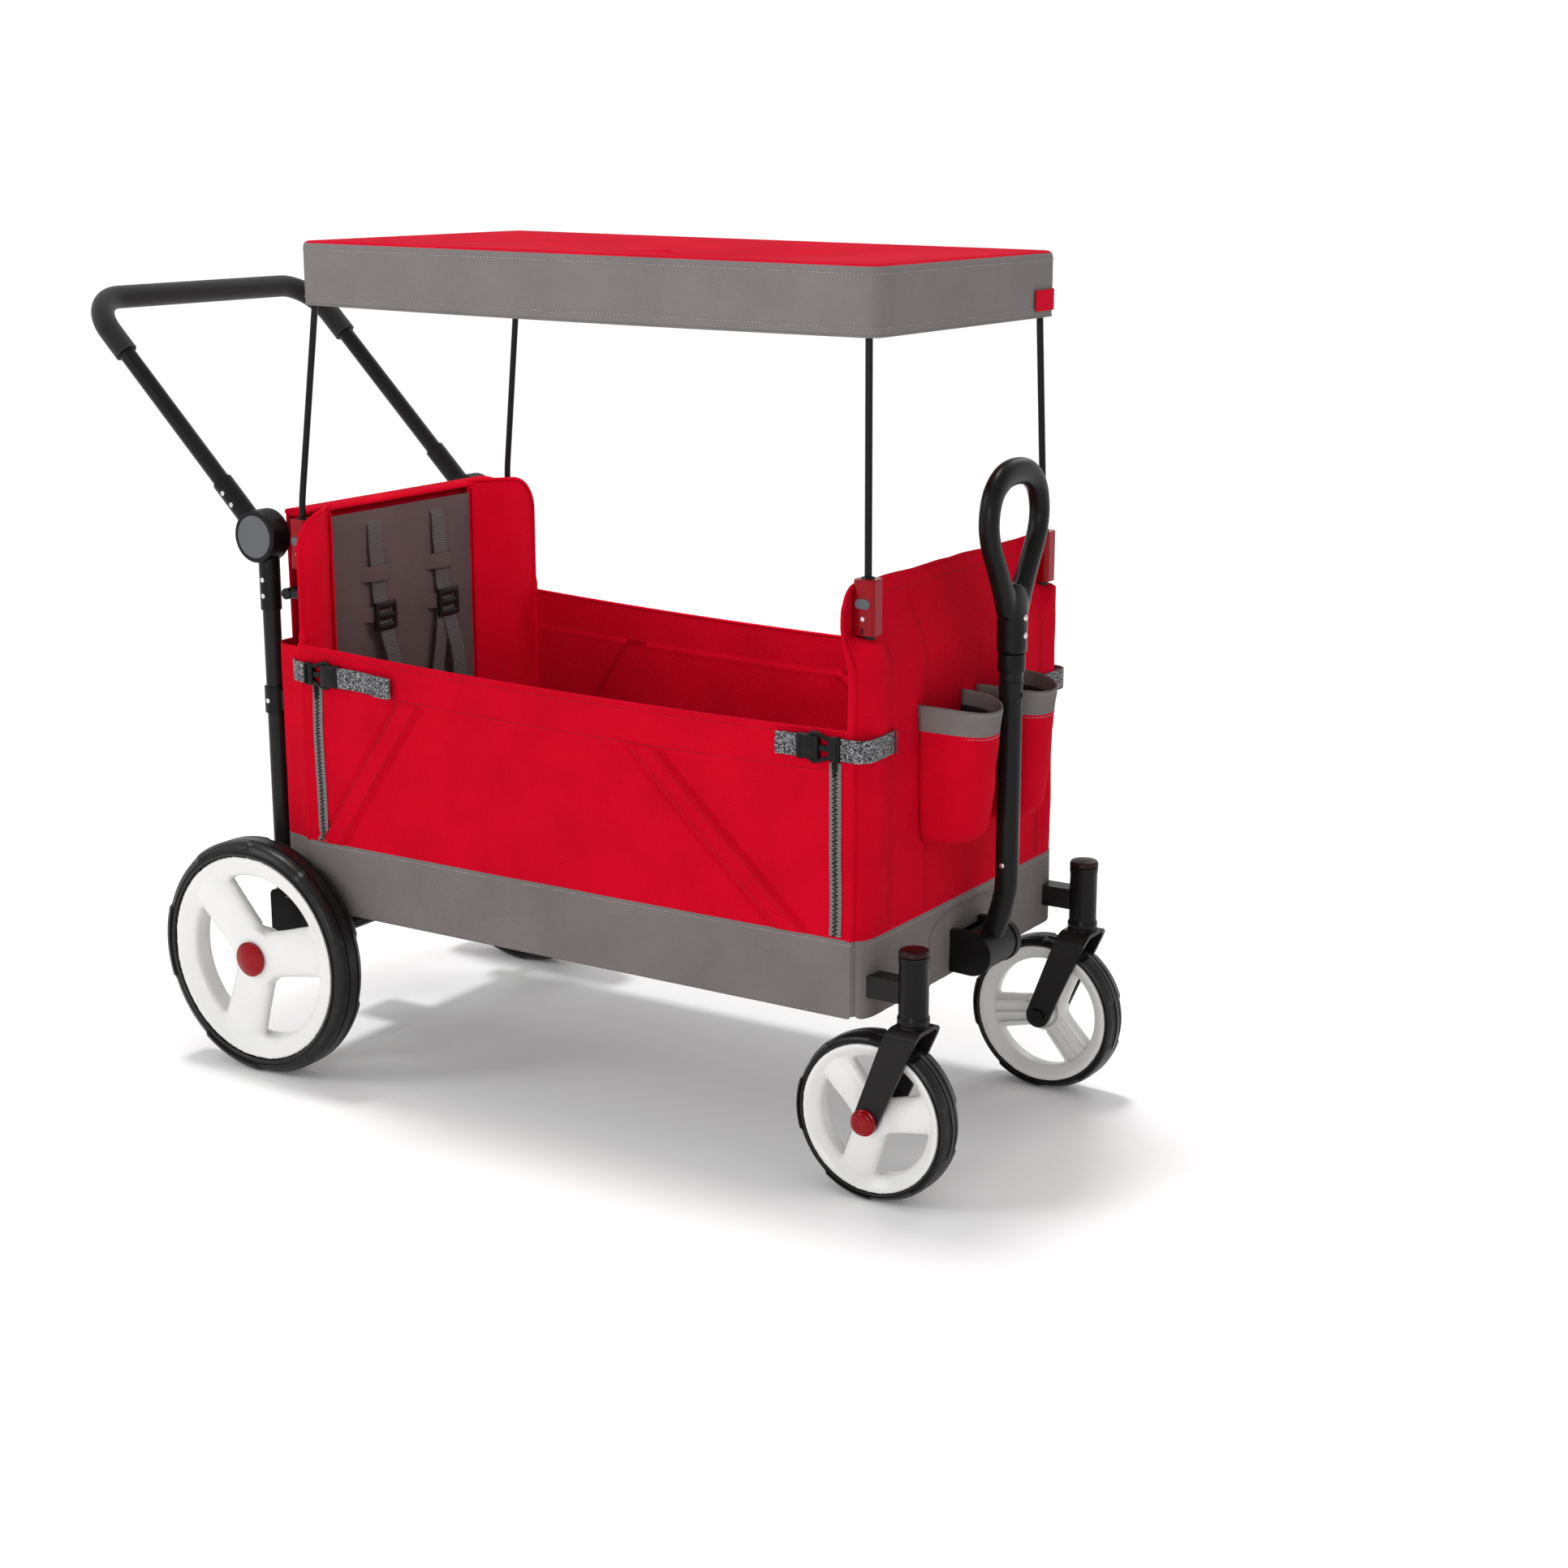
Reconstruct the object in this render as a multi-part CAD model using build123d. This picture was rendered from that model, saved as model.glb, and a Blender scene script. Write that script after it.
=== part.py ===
from build123d import *
import os
from math import cos, radians, sin

# Kids pull wagon.  Millimetres, +X forward (pull handle end), +Y left, +Z up.
# The design works with x measured from the rear axle; save() moves every solid so that the
# origin is on the ground under the middle of the overall box.
CENTRE_X = 314.5

# Wheels
REAR_RADIUS = 150.0
REAR_RIM_RADIUS = 131.6
REAR_WIDTH = 45.0
REAR_MID_Y = 268.5
FRONT_RADIUS = 97.0
FRONT_RIM_RADIUS = 86.6
FRONT_WIDTH = 38.0
CASTOR_Y = 208.0
CASTOR_X = 902.4
FRONT_WHEEL_X = 858.0

# Tub
SIDE_INNER_Y = 229.0
FABRIC = 4.0
TUB_BOTTOM = 210.0
REAR_TUBE_X = 36.0
REAR_TUBE_Y = 200.0
FRONT_TUBE_X = 838.0
FRONT_TUBE_Y = 203.0
FRONT_FACE_X = 851.5
REAR_FACE_X = 50.0
END_TOP = 702.0
FRONT_TOP = 686.0
TUBE_R = 8.0

# Folding floor: three hinges at one height
HINGE_Z = 230.0
REAR_HINGE_X = 75.0
FRONT_HINGE_X = 810.0
KNEE_X = (REAR_HINGE_X + FRONT_HINGE_X) / 2
FLOOR_HALF_WIDTH = 222.0
HINGE_PIN_R = 5.0

# Push handle
POST_X = -20.0
POST_Y = 203.0
POST_R = 11.0
PIVOT_X = -29.0
PIVOT_Z = 669.0
HOUSING_R = 32.5
HOUSING_HALF = 15.5
ARM_ANGLE = 45.5
ARM_R = 10.5
BAR_DISTANCE = 396.0
FOAM_DISTANCE = 305.0
FOAM_R = 14.5
SLEEVE_R = 13.0

# Pull handle
PULL_X = 905.0
PULL_PIVOT_X = 880.0
PULL_PIVOT_Z = 240.0
PULL_TUBE_R = 13.5
PULL_BEND_Z = 326.0
BARREL_R = 24.5
BARREL_HALF = 28.7
YOKE_HALF = 38.0
PULL_INNER_R = 11.45
GRIP_BOTTOM = 588.0
GRIP_TOP = 805.0

# Canopy
SOCKET_BOTTOM = 634.0
SOCKET_TOP = 694.0
ROD_R = 4.0
CANOPY_LOW = (54.5, -205.0, 945.0)
CANOPY_HIGH = (846.0, 205.0, 1020.0)

RUNNING_FIT = 0.05
BASE = (Align.CENTER, Align.CENTER, Align.MIN)
CORNER = (Align.MIN, Align.MIN, Align.MIN)


def bar(start, end, radius):
    """Round bar between two points."""
    along = Vector(*end) - Vector(*start)
    return Plane(origin=start, z_dir=along) * Cylinder(radius, along.length, align=BASE)


def block(low, high):
    """Box between two corners."""
    size = [b - a for a, b in zip(low, high)]
    return Pos(*low) * Box(*size, align=CORNER)


def mirrored(shape):
    return mirror(shape, about=Plane.XZ)


def pair(shape):
    """The same solid on the left and on the right."""
    return [shape, mirrored(shape)]


def side_plate(outline, low_y, high_y):
    """A sketch drawn in X and Z, given a thickness along Y."""
    drawn = Plane(origin=(0, high_y, 0), x_dir=(1, 0, 0), z_dir=(0, -1, 0)) * outline
    return extrude(drawn, high_y - low_y)


def link_outline(start, start_radius, end, end_radius):
    """Two circles with their common hull."""
    circles = Pos(*start) * Circle(start_radius) + Pos(*end) * Circle(end_radius)
    return make_hull(circles.edges())


def save(name, *shapes):
    flat = []
    for shape in shapes:
        flat.extend(shape if isinstance(shape, list) else [shape])
    solids = [solid for shape in flat for solid in shape.solids()]
    whole = solids[0] if len(solids) == 1 else Compound(solids)
    export_step(whole.moved(Location((-CENTRE_X, 0, 0))), f"parts/{name}.step")


# ---------------------------------------------------------------- wheels


def tyre(radius, rim_radius, width):
    """Solid rubber tyre with its crown rounded, around the rim's channel."""
    half = width / 2
    seat = rim_radius - 5.6
    lip = half - 3.0
    edge = rim_radius + 0.2
    points = [(seat, -lip), (seat, lip), (edge, lip), (edge, half), (radius, half)]
    points += [(x, -y) for x, y in reversed(points[2:])]
    section = make_face(Polyline(*points, close=True))
    section = fillet(section.vertices().group_by(Axis.X)[-1], half * 0.42)
    return revolve(section, axis=Axis.Y)


def rim(radius, width, hub_radius, spoke_width, bore_radius):
    """Moulded wheel: channel band, three wide spokes and a hub; its outer side faces +Y."""
    half = width / 2
    seat = radius - 5.8
    inner = radius * 0.85
    lip = half - 2.8
    points = [
        (inner, half - 0.5),
        (radius, half - 0.5),
        (radius, lip),
        (seat, lip),
        (seat, -lip),
        (radius, -lip),
        (radius, 0.5 - half),
        (inner + 3, 0.5 - half),
        (inner + 6, -lip + 4),
        (inner + 6, lip - 6),
    ]
    band = revolve(make_face(Polyline(*points, close=True)), axis=Axis.Y)
    plan = Circle(inner + 7) - Circle(inner + 1) + Circle(hub_radius)
    for angle in (13, 133, 253):
        plan += Rot(0, 0, angle) * Pos(inner / 2 + 2, 0) * Rectangle(inner, spoke_width)
    corners = [v for v in plan.vertices() if v.center().length < inner + 2]
    plan = fillet(corners, spoke_width * 0.22)
    spokes = side_plate(plan, -half * 0.25, half - 3)
    outer_edges = spokes.edges().group_by(Axis.Y)[-1]
    spokes = chamfer(outer_edges.filter_by(lambda e: e.center().length < inner + 1), 2.0)
    hub = bar((0, 1 - half, 0), (0, half - 0.5, 0), hub_radius * 0.62)
    bore = bar((0, -half - 5, 0), (0, half + 5, 0), bore_radius + RUNNING_FIT)
    return band + spokes + hub - bore


def dome_cap(radius, height):
    """Domed cap that stands on the plane y = 0, with a straight rim under its dome."""
    rise = height * 0.65
    sphere_radius = (radius**2 + rise**2) / (2 * rise)
    ball = Pos(0, height - sphere_radius, 0) * Sphere(sphere_radius)
    return bar((0, 0, 0), (0, height, 0), radius) & ball


def rear_wheels():
    at = Pos(0, REAR_MID_Y, REAR_RADIUS)
    outer_face = Pos(0, REAR_MID_Y + REAR_WIDTH / 2 - 0.4, REAR_RADIUS)
    tread = at * tyre(REAR_RADIUS, REAR_RIM_RADIUS, REAR_WIDTH)
    wheel_rim = at * rim(REAR_RIM_RADIUS, REAR_WIDTH, 38.0, 58.0, 6.0)
    cap = outer_face * dome_cap(22.0, 8.5)
    for name, place in (("left", lambda s: s), ("right", mirrored)):
        save(f"rear_tyre_{name}", place(tread))
        save(f"rear_rim_{name}", place(wheel_rim))
        save(f"rear_hub_cap_{name}", place(cap))


def front_wheels():
    at = Pos(FRONT_WHEEL_X, CASTOR_Y, FRONT_RADIUS)
    tread = at * tyre(FRONT_RADIUS, FRONT_RIM_RADIUS, FRONT_WIDTH)
    wheel_rim = at * rim(FRONT_RIM_RADIUS, FRONT_WIDTH, 26.0, 38.0, 4.0)
    for name, place in (("left", lambda s: s), ("right", mirrored)):
        save(f"front_tyre_{name}", place(tread))
        save(f"front_rim_{name}", place(wheel_rim))


# ---------------------------------------------------------------- castors


def castor_fork():
    """Bent strap fork: an upside-down U cut to a sloping leg, with its swivel pin."""
    outer, gauge, top = 28.0, 5.0, 209.0
    inner = outer - gauge
    shoulder = 14.0
    bottom = FRONT_RADIUS - 20
    u_outer = Pos(0, (top + bottom) / 2) * Rectangle(2 * outer, top - bottom)
    u_outer = fillet(u_outer.vertices().group_by(Axis.Y)[-1], shoulder)
    roof = top - gauge
    u_inner = Pos(0, (roof + bottom) / 2) * Rectangle(2 * inner, roof - bottom)
    u_inner = fillet(u_inner.vertices().group_by(Axis.Y)[-1], shoulder - gauge)
    along_x = Plane(origin=(830, CASTOR_Y, 0), x_dir=(0, 1, 0), z_dir=(1, 0, 0))
    strap = extrude(along_x * (u_outer - u_inner), 110)
    top_edge = Pos(CASTOR_X, 206) * Rectangle(38, 6)
    foot = Pos(FRONT_WHEEL_X, FRONT_RADIUS) * Circle(15)
    silhouette = make_hull((top_edge + foot).edges())
    strap = strap & side_plate(silhouette, CASTOR_Y - 40, CASTOR_Y + 40)
    strap -= bar((FRONT_WHEEL_X, 160, FRONT_RADIUS), (FRONT_WHEEL_X, 260, FRONT_RADIUS), 4)
    collar = bar((CASTOR_X, CASTOR_Y, top), (CASTOR_X, CASTOR_Y, 211.4), 18)
    pin = bar((CASTOR_X, CASTOR_Y, 205), (CASTOR_X, CASTOR_Y, 282), 8)
    return strap + collar + pin


def castor_axle():
    """Axle bolt with a ringed cap on the outer side and a nut on the inner side."""
    x, z = FRONT_WHEEL_X, FRONT_RADIUS
    bolt = bar((x, CASTOR_Y - 30, z), (x, CASTOR_Y + 30, z), 4)
    cap = Pos(x, CASTOR_Y + 28, z) * dome_cap(15, 12)
    nut = bar((x, CASTOR_Y - 34, z), (x, CASTOR_Y - 28, z), 8)
    return bolt + cap + nut


def castors():
    fork = castor_fork()
    axle = castor_axle()
    for name, place in (("left", lambda s: s), ("right", mirrored)):
        save(f"castor_fork_{name}", place(fork))
        save(f"castor_axle_{name}", place(axle))
    housing = bar((CASTOR_X, CASTOR_Y, 211.7), (CASTOR_X, CASTOR_Y, 294), 17)
    dome = Pos(CASTOR_X, CASTOR_Y, 294) * Rot(90, 0, 0) * dome_cap(16.4, 3.7)
    housing += dome
    housing -= bar((CASTOR_X, CASTOR_Y, 205), (CASTOR_X, CASTOR_Y, 284), 8 + RUNNING_FIT)
    save("castor_housings", pair(housing))


# ---------------------------------------------------------------- rear end


def rear_axle():
    tube = bar((0, -236, REAR_RADIUS), (0, 236, REAR_RADIUS), 10)
    spindle = bar((0, -286, REAR_RADIUS), (0, 286, REAR_RADIUS), 6)
    return tube + spindle


def axle_bracket():
    """Cast bracket that carries the axle and the foot of a post."""
    body = block((POST_X - 14, POST_Y - 13, 134), (16, POST_Y + 13, 218))
    body = fillet(body.edges().filter_by(Axis.Y), 8)
    body -= bar((0, -236, REAR_RADIUS), (0, 236, REAR_RADIUS), 10)
    return body - bar((POST_X, POST_Y, 172), (POST_X, POST_Y, 300), POST_R)


def rear_post():
    return bar((POST_X, POST_Y, 172), (POST_X, POST_Y, 618), POST_R)


def post_clamp():
    """Collar round a post with a lug that reaches the rear upright."""
    collar = bar((POST_X, POST_Y, 448), (POST_X, POST_Y, 481), POST_R + 2.6)
    lug = block((POST_X, POST_Y - 6, 452), (REAR_TUBE_X, POST_Y + 5, 477))
    lug = fillet(lug.edges().filter_by(Axis.Y), 3)
    clamp = collar + lug
    clamp -= bar((POST_X, POST_Y, 440), (POST_X, POST_Y, 490), POST_R)
    clamp -= bar((REAR_TUBE_X, REAR_TUBE_Y, 440), (REAR_TUBE_X, REAR_TUBE_Y, 490), TUBE_R)
    for head in frame_screw_heads()[2:]:
        clamp -= head
    return clamp


def screw_head(x, y, z, radius=3.0, length=3.0):
    """Pan head that lies along Y and stands 1 mm proud of the plane y."""
    return bar((x, y + 1 - length, z), (x, y + 1, z), radius)


def frame_screw_heads():
    """Left-hand screws of the lower pivot socket (two) and of the clamp (two)."""
    sleeve_face = POST_Y + SLEEVE_R
    collar_face = POST_Y + POST_R + 2.6
    heads = [screw_head(POST_X, sleeve_face, z) for z in (616, 596)]
    heads.append(screw_head(POST_X, collar_face, 464))
    heads.append(screw_head(8, POST_Y + 5, 464))
    return heads


def lower_pivot_socket():
    """Inner half of the handle pivot with the sleeve on top of a post."""
    y_in, y_mid = POST_Y - HOUSING_HALF, POST_Y - 0.15
    disc = bar((PIVOT_X, y_in, PIVOT_Z), (PIVOT_X, y_mid, PIVOT_Z), HOUSING_R)
    disc = fillet(disc.edges().group_by(Axis.Y)[0], 3)
    sleeve = bar((POST_X, POST_Y, 578), (POST_X, POST_Y, 655), SLEEVE_R)
    clear = bar((PIVOT_X, y_mid, PIVOT_Z), (PIVOT_X, y_mid + 40, PIVOT_Z), HOUSING_R + 0.5)
    socket = disc + (sleeve - clear)
    socket -= bar((POST_X, POST_Y, 570), (POST_X, POST_Y, 618), POST_R)
    socket -= bar((PIVOT_X, y_in - 5, PIVOT_Z), (PIVOT_X, y_mid + 5, PIVOT_Z), HINGE_PIN_R)
    for head in frame_screw_heads()[:2]:
        socket -= head
    return socket


def pivot_pin():
    start = (PIVOT_X, POST_Y - HOUSING_HALF, PIVOT_Z)
    end = (PIVOT_X, POST_Y + 4.0, PIVOT_Z)
    return bar(start, end, HINGE_PIN_R)


def rear_end_frame():
    """Uprights, links, two crossbars and the lugs of the floor hinge, as separate tubes."""
    upright = bar((REAR_TUBE_X, REAR_TUBE_Y, 217), (REAR_TUBE_X, REAR_TUBE_Y, 634), TUBE_R)
    crossbar_x = 8.5
    tubes = pair(upright)
    crossbars = []
    for z in (225, 600):
        crossbar = bar((crossbar_x, -REAR_TUBE_Y - 7, z), (crossbar_x, REAR_TUBE_Y + 7, z), 7)
        crossbars.append(crossbar)
        link = bar((crossbar_x, REAR_TUBE_Y, z), (REAR_TUBE_X, REAR_TUBE_Y, z), 6)
        tubes += pair(link - crossbar - upright)
    outline = link_outline((REAR_HINGE_X, HINGE_Z), 8, (crossbar_x, 225), 9)
    lug = side_plate(outline, 158, 162) - crossbars[0]
    lug -= bar((REAR_HINGE_X, 150, HINGE_Z), (REAR_HINGE_X, 170, HINGE_Z), HINGE_PIN_R)
    return tubes + crossbars + pair(lug)


def hinge_rod(x, z, half_length):
    return bar((x, -half_length, z), (x, half_length, z), HINGE_PIN_R)


def rear_panel():
    """Red fabric wings that come forward round the uprights, the top hem and a back skirt."""
    front, back = REAR_FACE_X + FABRIC, REAR_FACE_X
    plan_points = [(16, 133), (24, 133), (front, 186), (front, 228), (back, 228), (back, 188)]
    wing = extrude(make_face(Polyline(*plan_points, close=True)), END_TOP - 248)
    wing = Pos(0, 0, 248) * wing
    hem = block((16, -133, 690.3), (24, 133, END_TOP))
    shape = wing + mirrored(wing) + hem
    face = Pos(0, 450) * Rectangle(2 * 228, 2 * (END_TOP - 450))
    face = fillet(face.vertices().group_by(Axis.Y)[-1], 45)
    along_x = Plane(origin=(0, 0, 0), x_dir=(0, 1, 0), z_dir=(1, 0, 0))
    shape = shape & extrude(along_x * face, 80)
    skirt = block((-5, -184, TUB_BOTTOM), (-1, 184, 700))
    return [shape, skirt]


def backrest_panel():
    return block((16, -132.7, 248), (24, 132.7, 690))


def harness_strap():
    return block((24.3, 50, 330), (27.3, 75, 650))


def button_body(x, low_y, high_y, end_radius):
    """Long round-ended button that lies across a canopy socket's outer face."""
    z = SOCKET_TOP - 26
    outline = link_outline((x - 3.5, z), end_radius, (x + 3.5, z), end_radius)
    return side_plate(outline, low_y, high_y)


def canopy_socket(x, y):
    """Moulded holder on top of an upright, bored for a canopy rod and for its button."""
    body = block((x - 13, y - 12, SOCKET_BOTTOM), (x + 13, y + 12, SOCKET_TOP))
    body = fillet(body.edges().filter_by(Axis.Z), 6)
    body = fillet(body.edges().group_by(Axis.Z)[-1], 2)
    body -= bar((x, y, 644), (x, y, SOCKET_TOP + 5), ROD_R + RUNNING_FIT)
    return body - button_body(x, y + 6.3, y + 20, 5.5 + RUNNING_FIT)


def socket_button(x, y):
    button = button_body(x, y + 8.5, y + 13.5, 5.5)
    return fillet(button.edges().group_by(Axis.Y)[-1], 1)


def side_wall():
    """Side panel of the tub, with its hem a little lower in the middle."""
    rear_x, front_x = REAR_FACE_X + 5, 843.0
    middle = ((rear_x + front_x) / 2, 531)
    hem = ThreePointArc((rear_x, 545), middle, (front_x, 531.5))
    outline = hem + Polyline(
        (front_x, 531.5), (front_x, TUB_BOTTOM), (rear_x, TUB_BOTTOM), (rear_x, 545)
    )
    return side_plate(make_face(outline), SIDE_INNER_Y, SIDE_INNER_Y + FABRIC)


def buckle(x):
    low_y = SIDE_INNER_Y + FABRIC + 0.5
    body = block((x - 28, low_y, 499), (x + 28, low_y + 10, 527))
    return fillet(body.edges().filter_by(Axis.Y), 4)


def brake_pedal():
    """Foot pedal that turns on the axle tube."""
    collar = bar((0, -38, REAR_RADIUS), (0, 38, REAR_RADIUS), 15)
    plate = block((-78, -38, 146), (-8, 38, 153))
    plate = fillet(plate.edges().filter_by(Axis.Z).group_by(Axis.X)[0], 12)
    pedal = collar + plate
    return pedal - bar((0, -60, REAR_RADIUS), (0, 60, REAR_RADIUS), 10 + RUNNING_FIT)


def rear_end():
    save("rear_axle", rear_axle())
    save("axle_brackets", pair(axle_bracket()))
    save("rear_posts", pair(rear_post()))
    save("post_clamps", pair(post_clamp()))
    save("pivot_sockets_lower", pair(lower_pivot_socket()))
    save("rear_end_frame", rear_end_frame())
    screws = [screw for head in frame_screw_heads() for screw in pair(head)]
    pins = [hinge_rod(REAR_HINGE_X, HINGE_Z, 168)] + pair(pivot_pin())
    save("rear_pins_and_screws", pins, screws)
    save("rear_panel", rear_panel())
    save("backrest_panel", backrest_panel())
    save("harness_straps", pair(harness_strap()))
    save("canopy_sockets_rear", pair(canopy_socket(REAR_TUBE_X, REAR_TUBE_Y)))
    save("side_wall_left", side_wall())
    save("side_wall_right", mirrored(side_wall()))
    save("buckles_rear", pair(buckle(92)))
    save("brake_pedal", brake_pedal())
    button = socket_button(REAR_TUBE_X, REAR_TUBE_Y)
    save("socket_button_rear_left", button)
    save("socket_button_rear_right", mirrored(button))


# ---------------------------------------------------------------- push handle


def arm_point(distance, y):
    """Point on an arm's axis, that far from the pivot."""
    lean = radians(ARM_ANGLE)
    return (PIVOT_X - distance * sin(lean), y, PIVOT_Z + distance * cos(lean))


def bent_bar(first_distance, radius):
    """Round bar up one arm, across and down the other, with two bends."""
    corners = [
        arm_point(first_distance, POST_Y),
        arm_point(BAR_DISTANCE, POST_Y),
        arm_point(BAR_DISTANCE, -POST_Y),
        arm_point(first_distance, -POST_Y),
    ]
    path = FilletPolyline(*corners, radius=55)
    section = Plane(origin=path @ 0, z_dir=path % 0) * Circle(radius)
    return sweep(section, path=path)


def upper_screws():
    """Left-hand screws of the upper pivot socket."""
    heads = []
    for distance in (52, 71):
        x, _, z = arm_point(distance, 0)
        heads.append(screw_head(x, POST_Y + SLEEVE_R, z))
    return heads


def upper_pivot_socket():
    """Outer half of the handle pivot with the sleeve at the foot of an arm."""
    y_mid, y_out = POST_Y + 0.15, POST_Y + HOUSING_HALF
    disc = bar((PIVOT_X, y_mid, PIVOT_Z), (PIVOT_X, y_out, PIVOT_Z), HOUSING_R)
    disc = fillet(disc.edges().group_by(Axis.Y)[-1], 3)
    sleeve = bar(arm_point(20, POST_Y), arm_point(88.5, POST_Y), SLEEVE_R)
    clear = bar((PIVOT_X, y_mid - 40, PIVOT_Z), (PIVOT_X, y_mid, PIVOT_Z), HOUSING_R + 0.5)
    socket = disc + (sleeve - clear)
    socket -= bar(arm_point(45, POST_Y), arm_point(95, POST_Y), ARM_R)
    socket -= bar(
        (PIVOT_X, y_mid - 1, PIVOT_Z), (PIVOT_X, y_mid + 4.5, PIVOT_Z), HINGE_PIN_R + RUNNING_FIT
    )
    socket -= bar((PIVOT_X, y_out - 8, PIVOT_Z), (PIVOT_X, y_out + 1, PIVOT_Z), 26.6)
    for head in upper_screws():
        socket -= head
    return socket


def pivot_button():
    """Round button in the outer face of the handle pivot."""
    y_out = POST_Y + HOUSING_HALF
    button = bar((PIVOT_X, y_out - 4.5, PIVOT_Z), (PIVOT_X, y_out + 0.5, PIVOT_Z), 26.4)
    return fillet(button.edges().group_by(Axis.Y)[-1], 1)


def push_handle():
    save("pivot_sockets_upper", pair(upper_pivot_socket()))
    save("handle_tube", bent_bar(45, ARM_R))
    save("handle_foam", bent_bar(FOAM_DISTANCE, FOAM_R) - bent_bar(45, ARM_R + 0.1))
    save("handle_screws", [screw for head in upper_screws() for screw in pair(head)])
    save("pivot_button_left", pivot_button())
    save("pivot_button_right", mirrored(pivot_button()))


# ---------------------------------------------------------------- floor


def floor_frame(end_x, knee_tab_y):
    """Rails, crossbars and hinge tabs of one floor half, from its end hinge to the knee."""
    towards = 1 if KNEE_X > end_x else -1
    rail_z, rail_r, cross_r, overhang = 237.0, 6.0, 5.5, 7.0
    first_x, last_x = end_x + towards * 26, KNEE_X - towards * 24
    rail_start, rail_end = first_x - towards * overhang, last_x + towards * overhang
    outer_rail = bar((rail_start, 190, rail_z), (rail_end, 190, rail_z), rail_r)
    solids = pair(outer_rail)
    for cross_x, hinge_x, tab_y in ((first_x, end_x, 152), (last_x, KNEE_X, knee_tab_y)):
        crossbar = bar((cross_x, -190, rail_z), (cross_x, 190, rail_z), cross_r)
        outline = link_outline((hinge_x, HINGE_Z), 8, (cross_x, rail_z), cross_r - 0.5)
        tab = side_plate(outline, tab_y, tab_y + 4)
        fixed_here = knee_tab_y > 155 and hinge_x == KNEE_X
        hole = HINGE_PIN_R if fixed_here else HINGE_PIN_R + RUNNING_FIT
        tab -= bar((hinge_x, 140, HINGE_Z), (hinge_x, 170, HINGE_Z), hole)
        tab -= crossbar
        for rail in solids[:2]:
            crossbar -= rail
        solids.append(crossbar)
        solids += pair(tab)
    return solids


def floor_board(low_x, high_x):
    board = block((low_x, -FLOOR_HALF_WIDTH, 243), (high_x, FLOOR_HALF_WIDTH, 249))
    return fillet(board.edges().filter_by(Axis.Z), 6)


def folding_floor():
    save("floor_frame_rear", floor_frame(REAR_HINGE_X, 158))
    save("floor_frame_front", floor_frame(FRONT_HINGE_X, 152))
    save("floor_board_rear", floor_board(REAR_HINGE_X + 20, KNEE_X - 1))
    save("floor_board_front", floor_board(KNEE_X + 1, FRONT_HINGE_X - 20))
    save("knee_hinge_rod", hinge_rod(KNEE_X, HINGE_Z, 168))


# ---------------------------------------------------------------- front end


def front_end_frame():
    """Uprights, two crossbars, castor brackets and the lugs of the floor hinge."""
    upright = bar((FRONT_TUBE_X, FRONT_TUBE_Y, 222), (FRONT_TUBE_X, FRONT_TUBE_Y, 634), TUBE_R)
    low_bar = bar((FRONT_TUBE_X, -FRONT_TUBE_Y, 240), (FRONT_TUBE_X, FRONT_TUBE_Y, 240), 9)
    high_bar = bar((FRONT_TUBE_X, -FRONT_TUBE_Y, 600), (FRONT_TUBE_X, FRONT_TUBE_Y, 600), 7)
    crossbars = []
    for crossbar in (low_bar, high_bar):
        for tube in pair(upright):
            crossbar -= tube
        crossbars.append(crossbar)
    bracket = block((FRONT_TUBE_X, CASTOR_Y - 12, 235), (CASTOR_X, CASTOR_Y + 12, 260))
    bracket -= bar((CASTOR_X, CASTOR_Y, 200), (CASTOR_X, CASTOR_Y, 300), 17)
    bracket -= upright
    bracket -= low_bar
    bracket = bracket.solids().sort_by(SortBy.VOLUME)[-1]
    outline = link_outline((FRONT_HINGE_X, HINGE_Z), 8, (FRONT_TUBE_X, 240), 8)
    lug = side_plate(outline, 158, 162) - low_bar
    lug -= bar((FRONT_HINGE_X, 150, HINGE_Z), (FRONT_HINGE_X, 170, HINGE_Z), HINGE_PIN_R)
    return pair(upright) + crossbars + pair(bracket) + pair(lug)


def front_panel():
    """Front fabric: it covers the uprights, steps back at their tops and rises behind them."""
    bottom, top, step_top = TUB_BOTTOM, FRONT_TOP, SOCKET_BOTTOM - 0.4
    step_bottom = step_top - FABRIC
    back_x = FRONT_TUBE_X - 19
    upper = Pos(0, (step_bottom + top) / 2) * Rectangle(2 * 226, top - step_bottom)
    upper = fillet(upper.vertices().group_by(Axis.Y)[-1], 22)
    face = Pos(0, (bottom + step_top) / 2) * Rectangle(2 * 226, step_top - bottom)
    notch = Pos(0, bottom) * Rectangle(2 * 64, 2 * 78)
    notch = fillet(notch.vertices().group_by(Axis.Y)[-1], 30)
    face -= notch
    for side in (-1, 1):
        face -= Pos(side * CASTOR_Y, 247.5) * Rectangle(26, 27)
    low_plane = Plane(origin=(FRONT_FACE_X - FABRIC, 0, 0), x_dir=(0, 1, 0), z_dir=(1, 0, 0))
    high_plane = Plane(origin=(back_x, 0, 0), x_dir=(0, 1, 0), z_dir=(1, 0, 0))
    step = block((back_x, -226, step_bottom), (FRONT_FACE_X, 226, step_top))
    for side in (-FRONT_TUBE_Y, FRONT_TUBE_Y):
        step -= bar((FRONT_TUBE_X, side, 600), (FRONT_TUBE_X, side, 640), TUBE_R + 0.3)
    return extrude(low_plane * face, FABRIC) + extrude(high_plane * upper, FABRIC) + step


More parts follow.
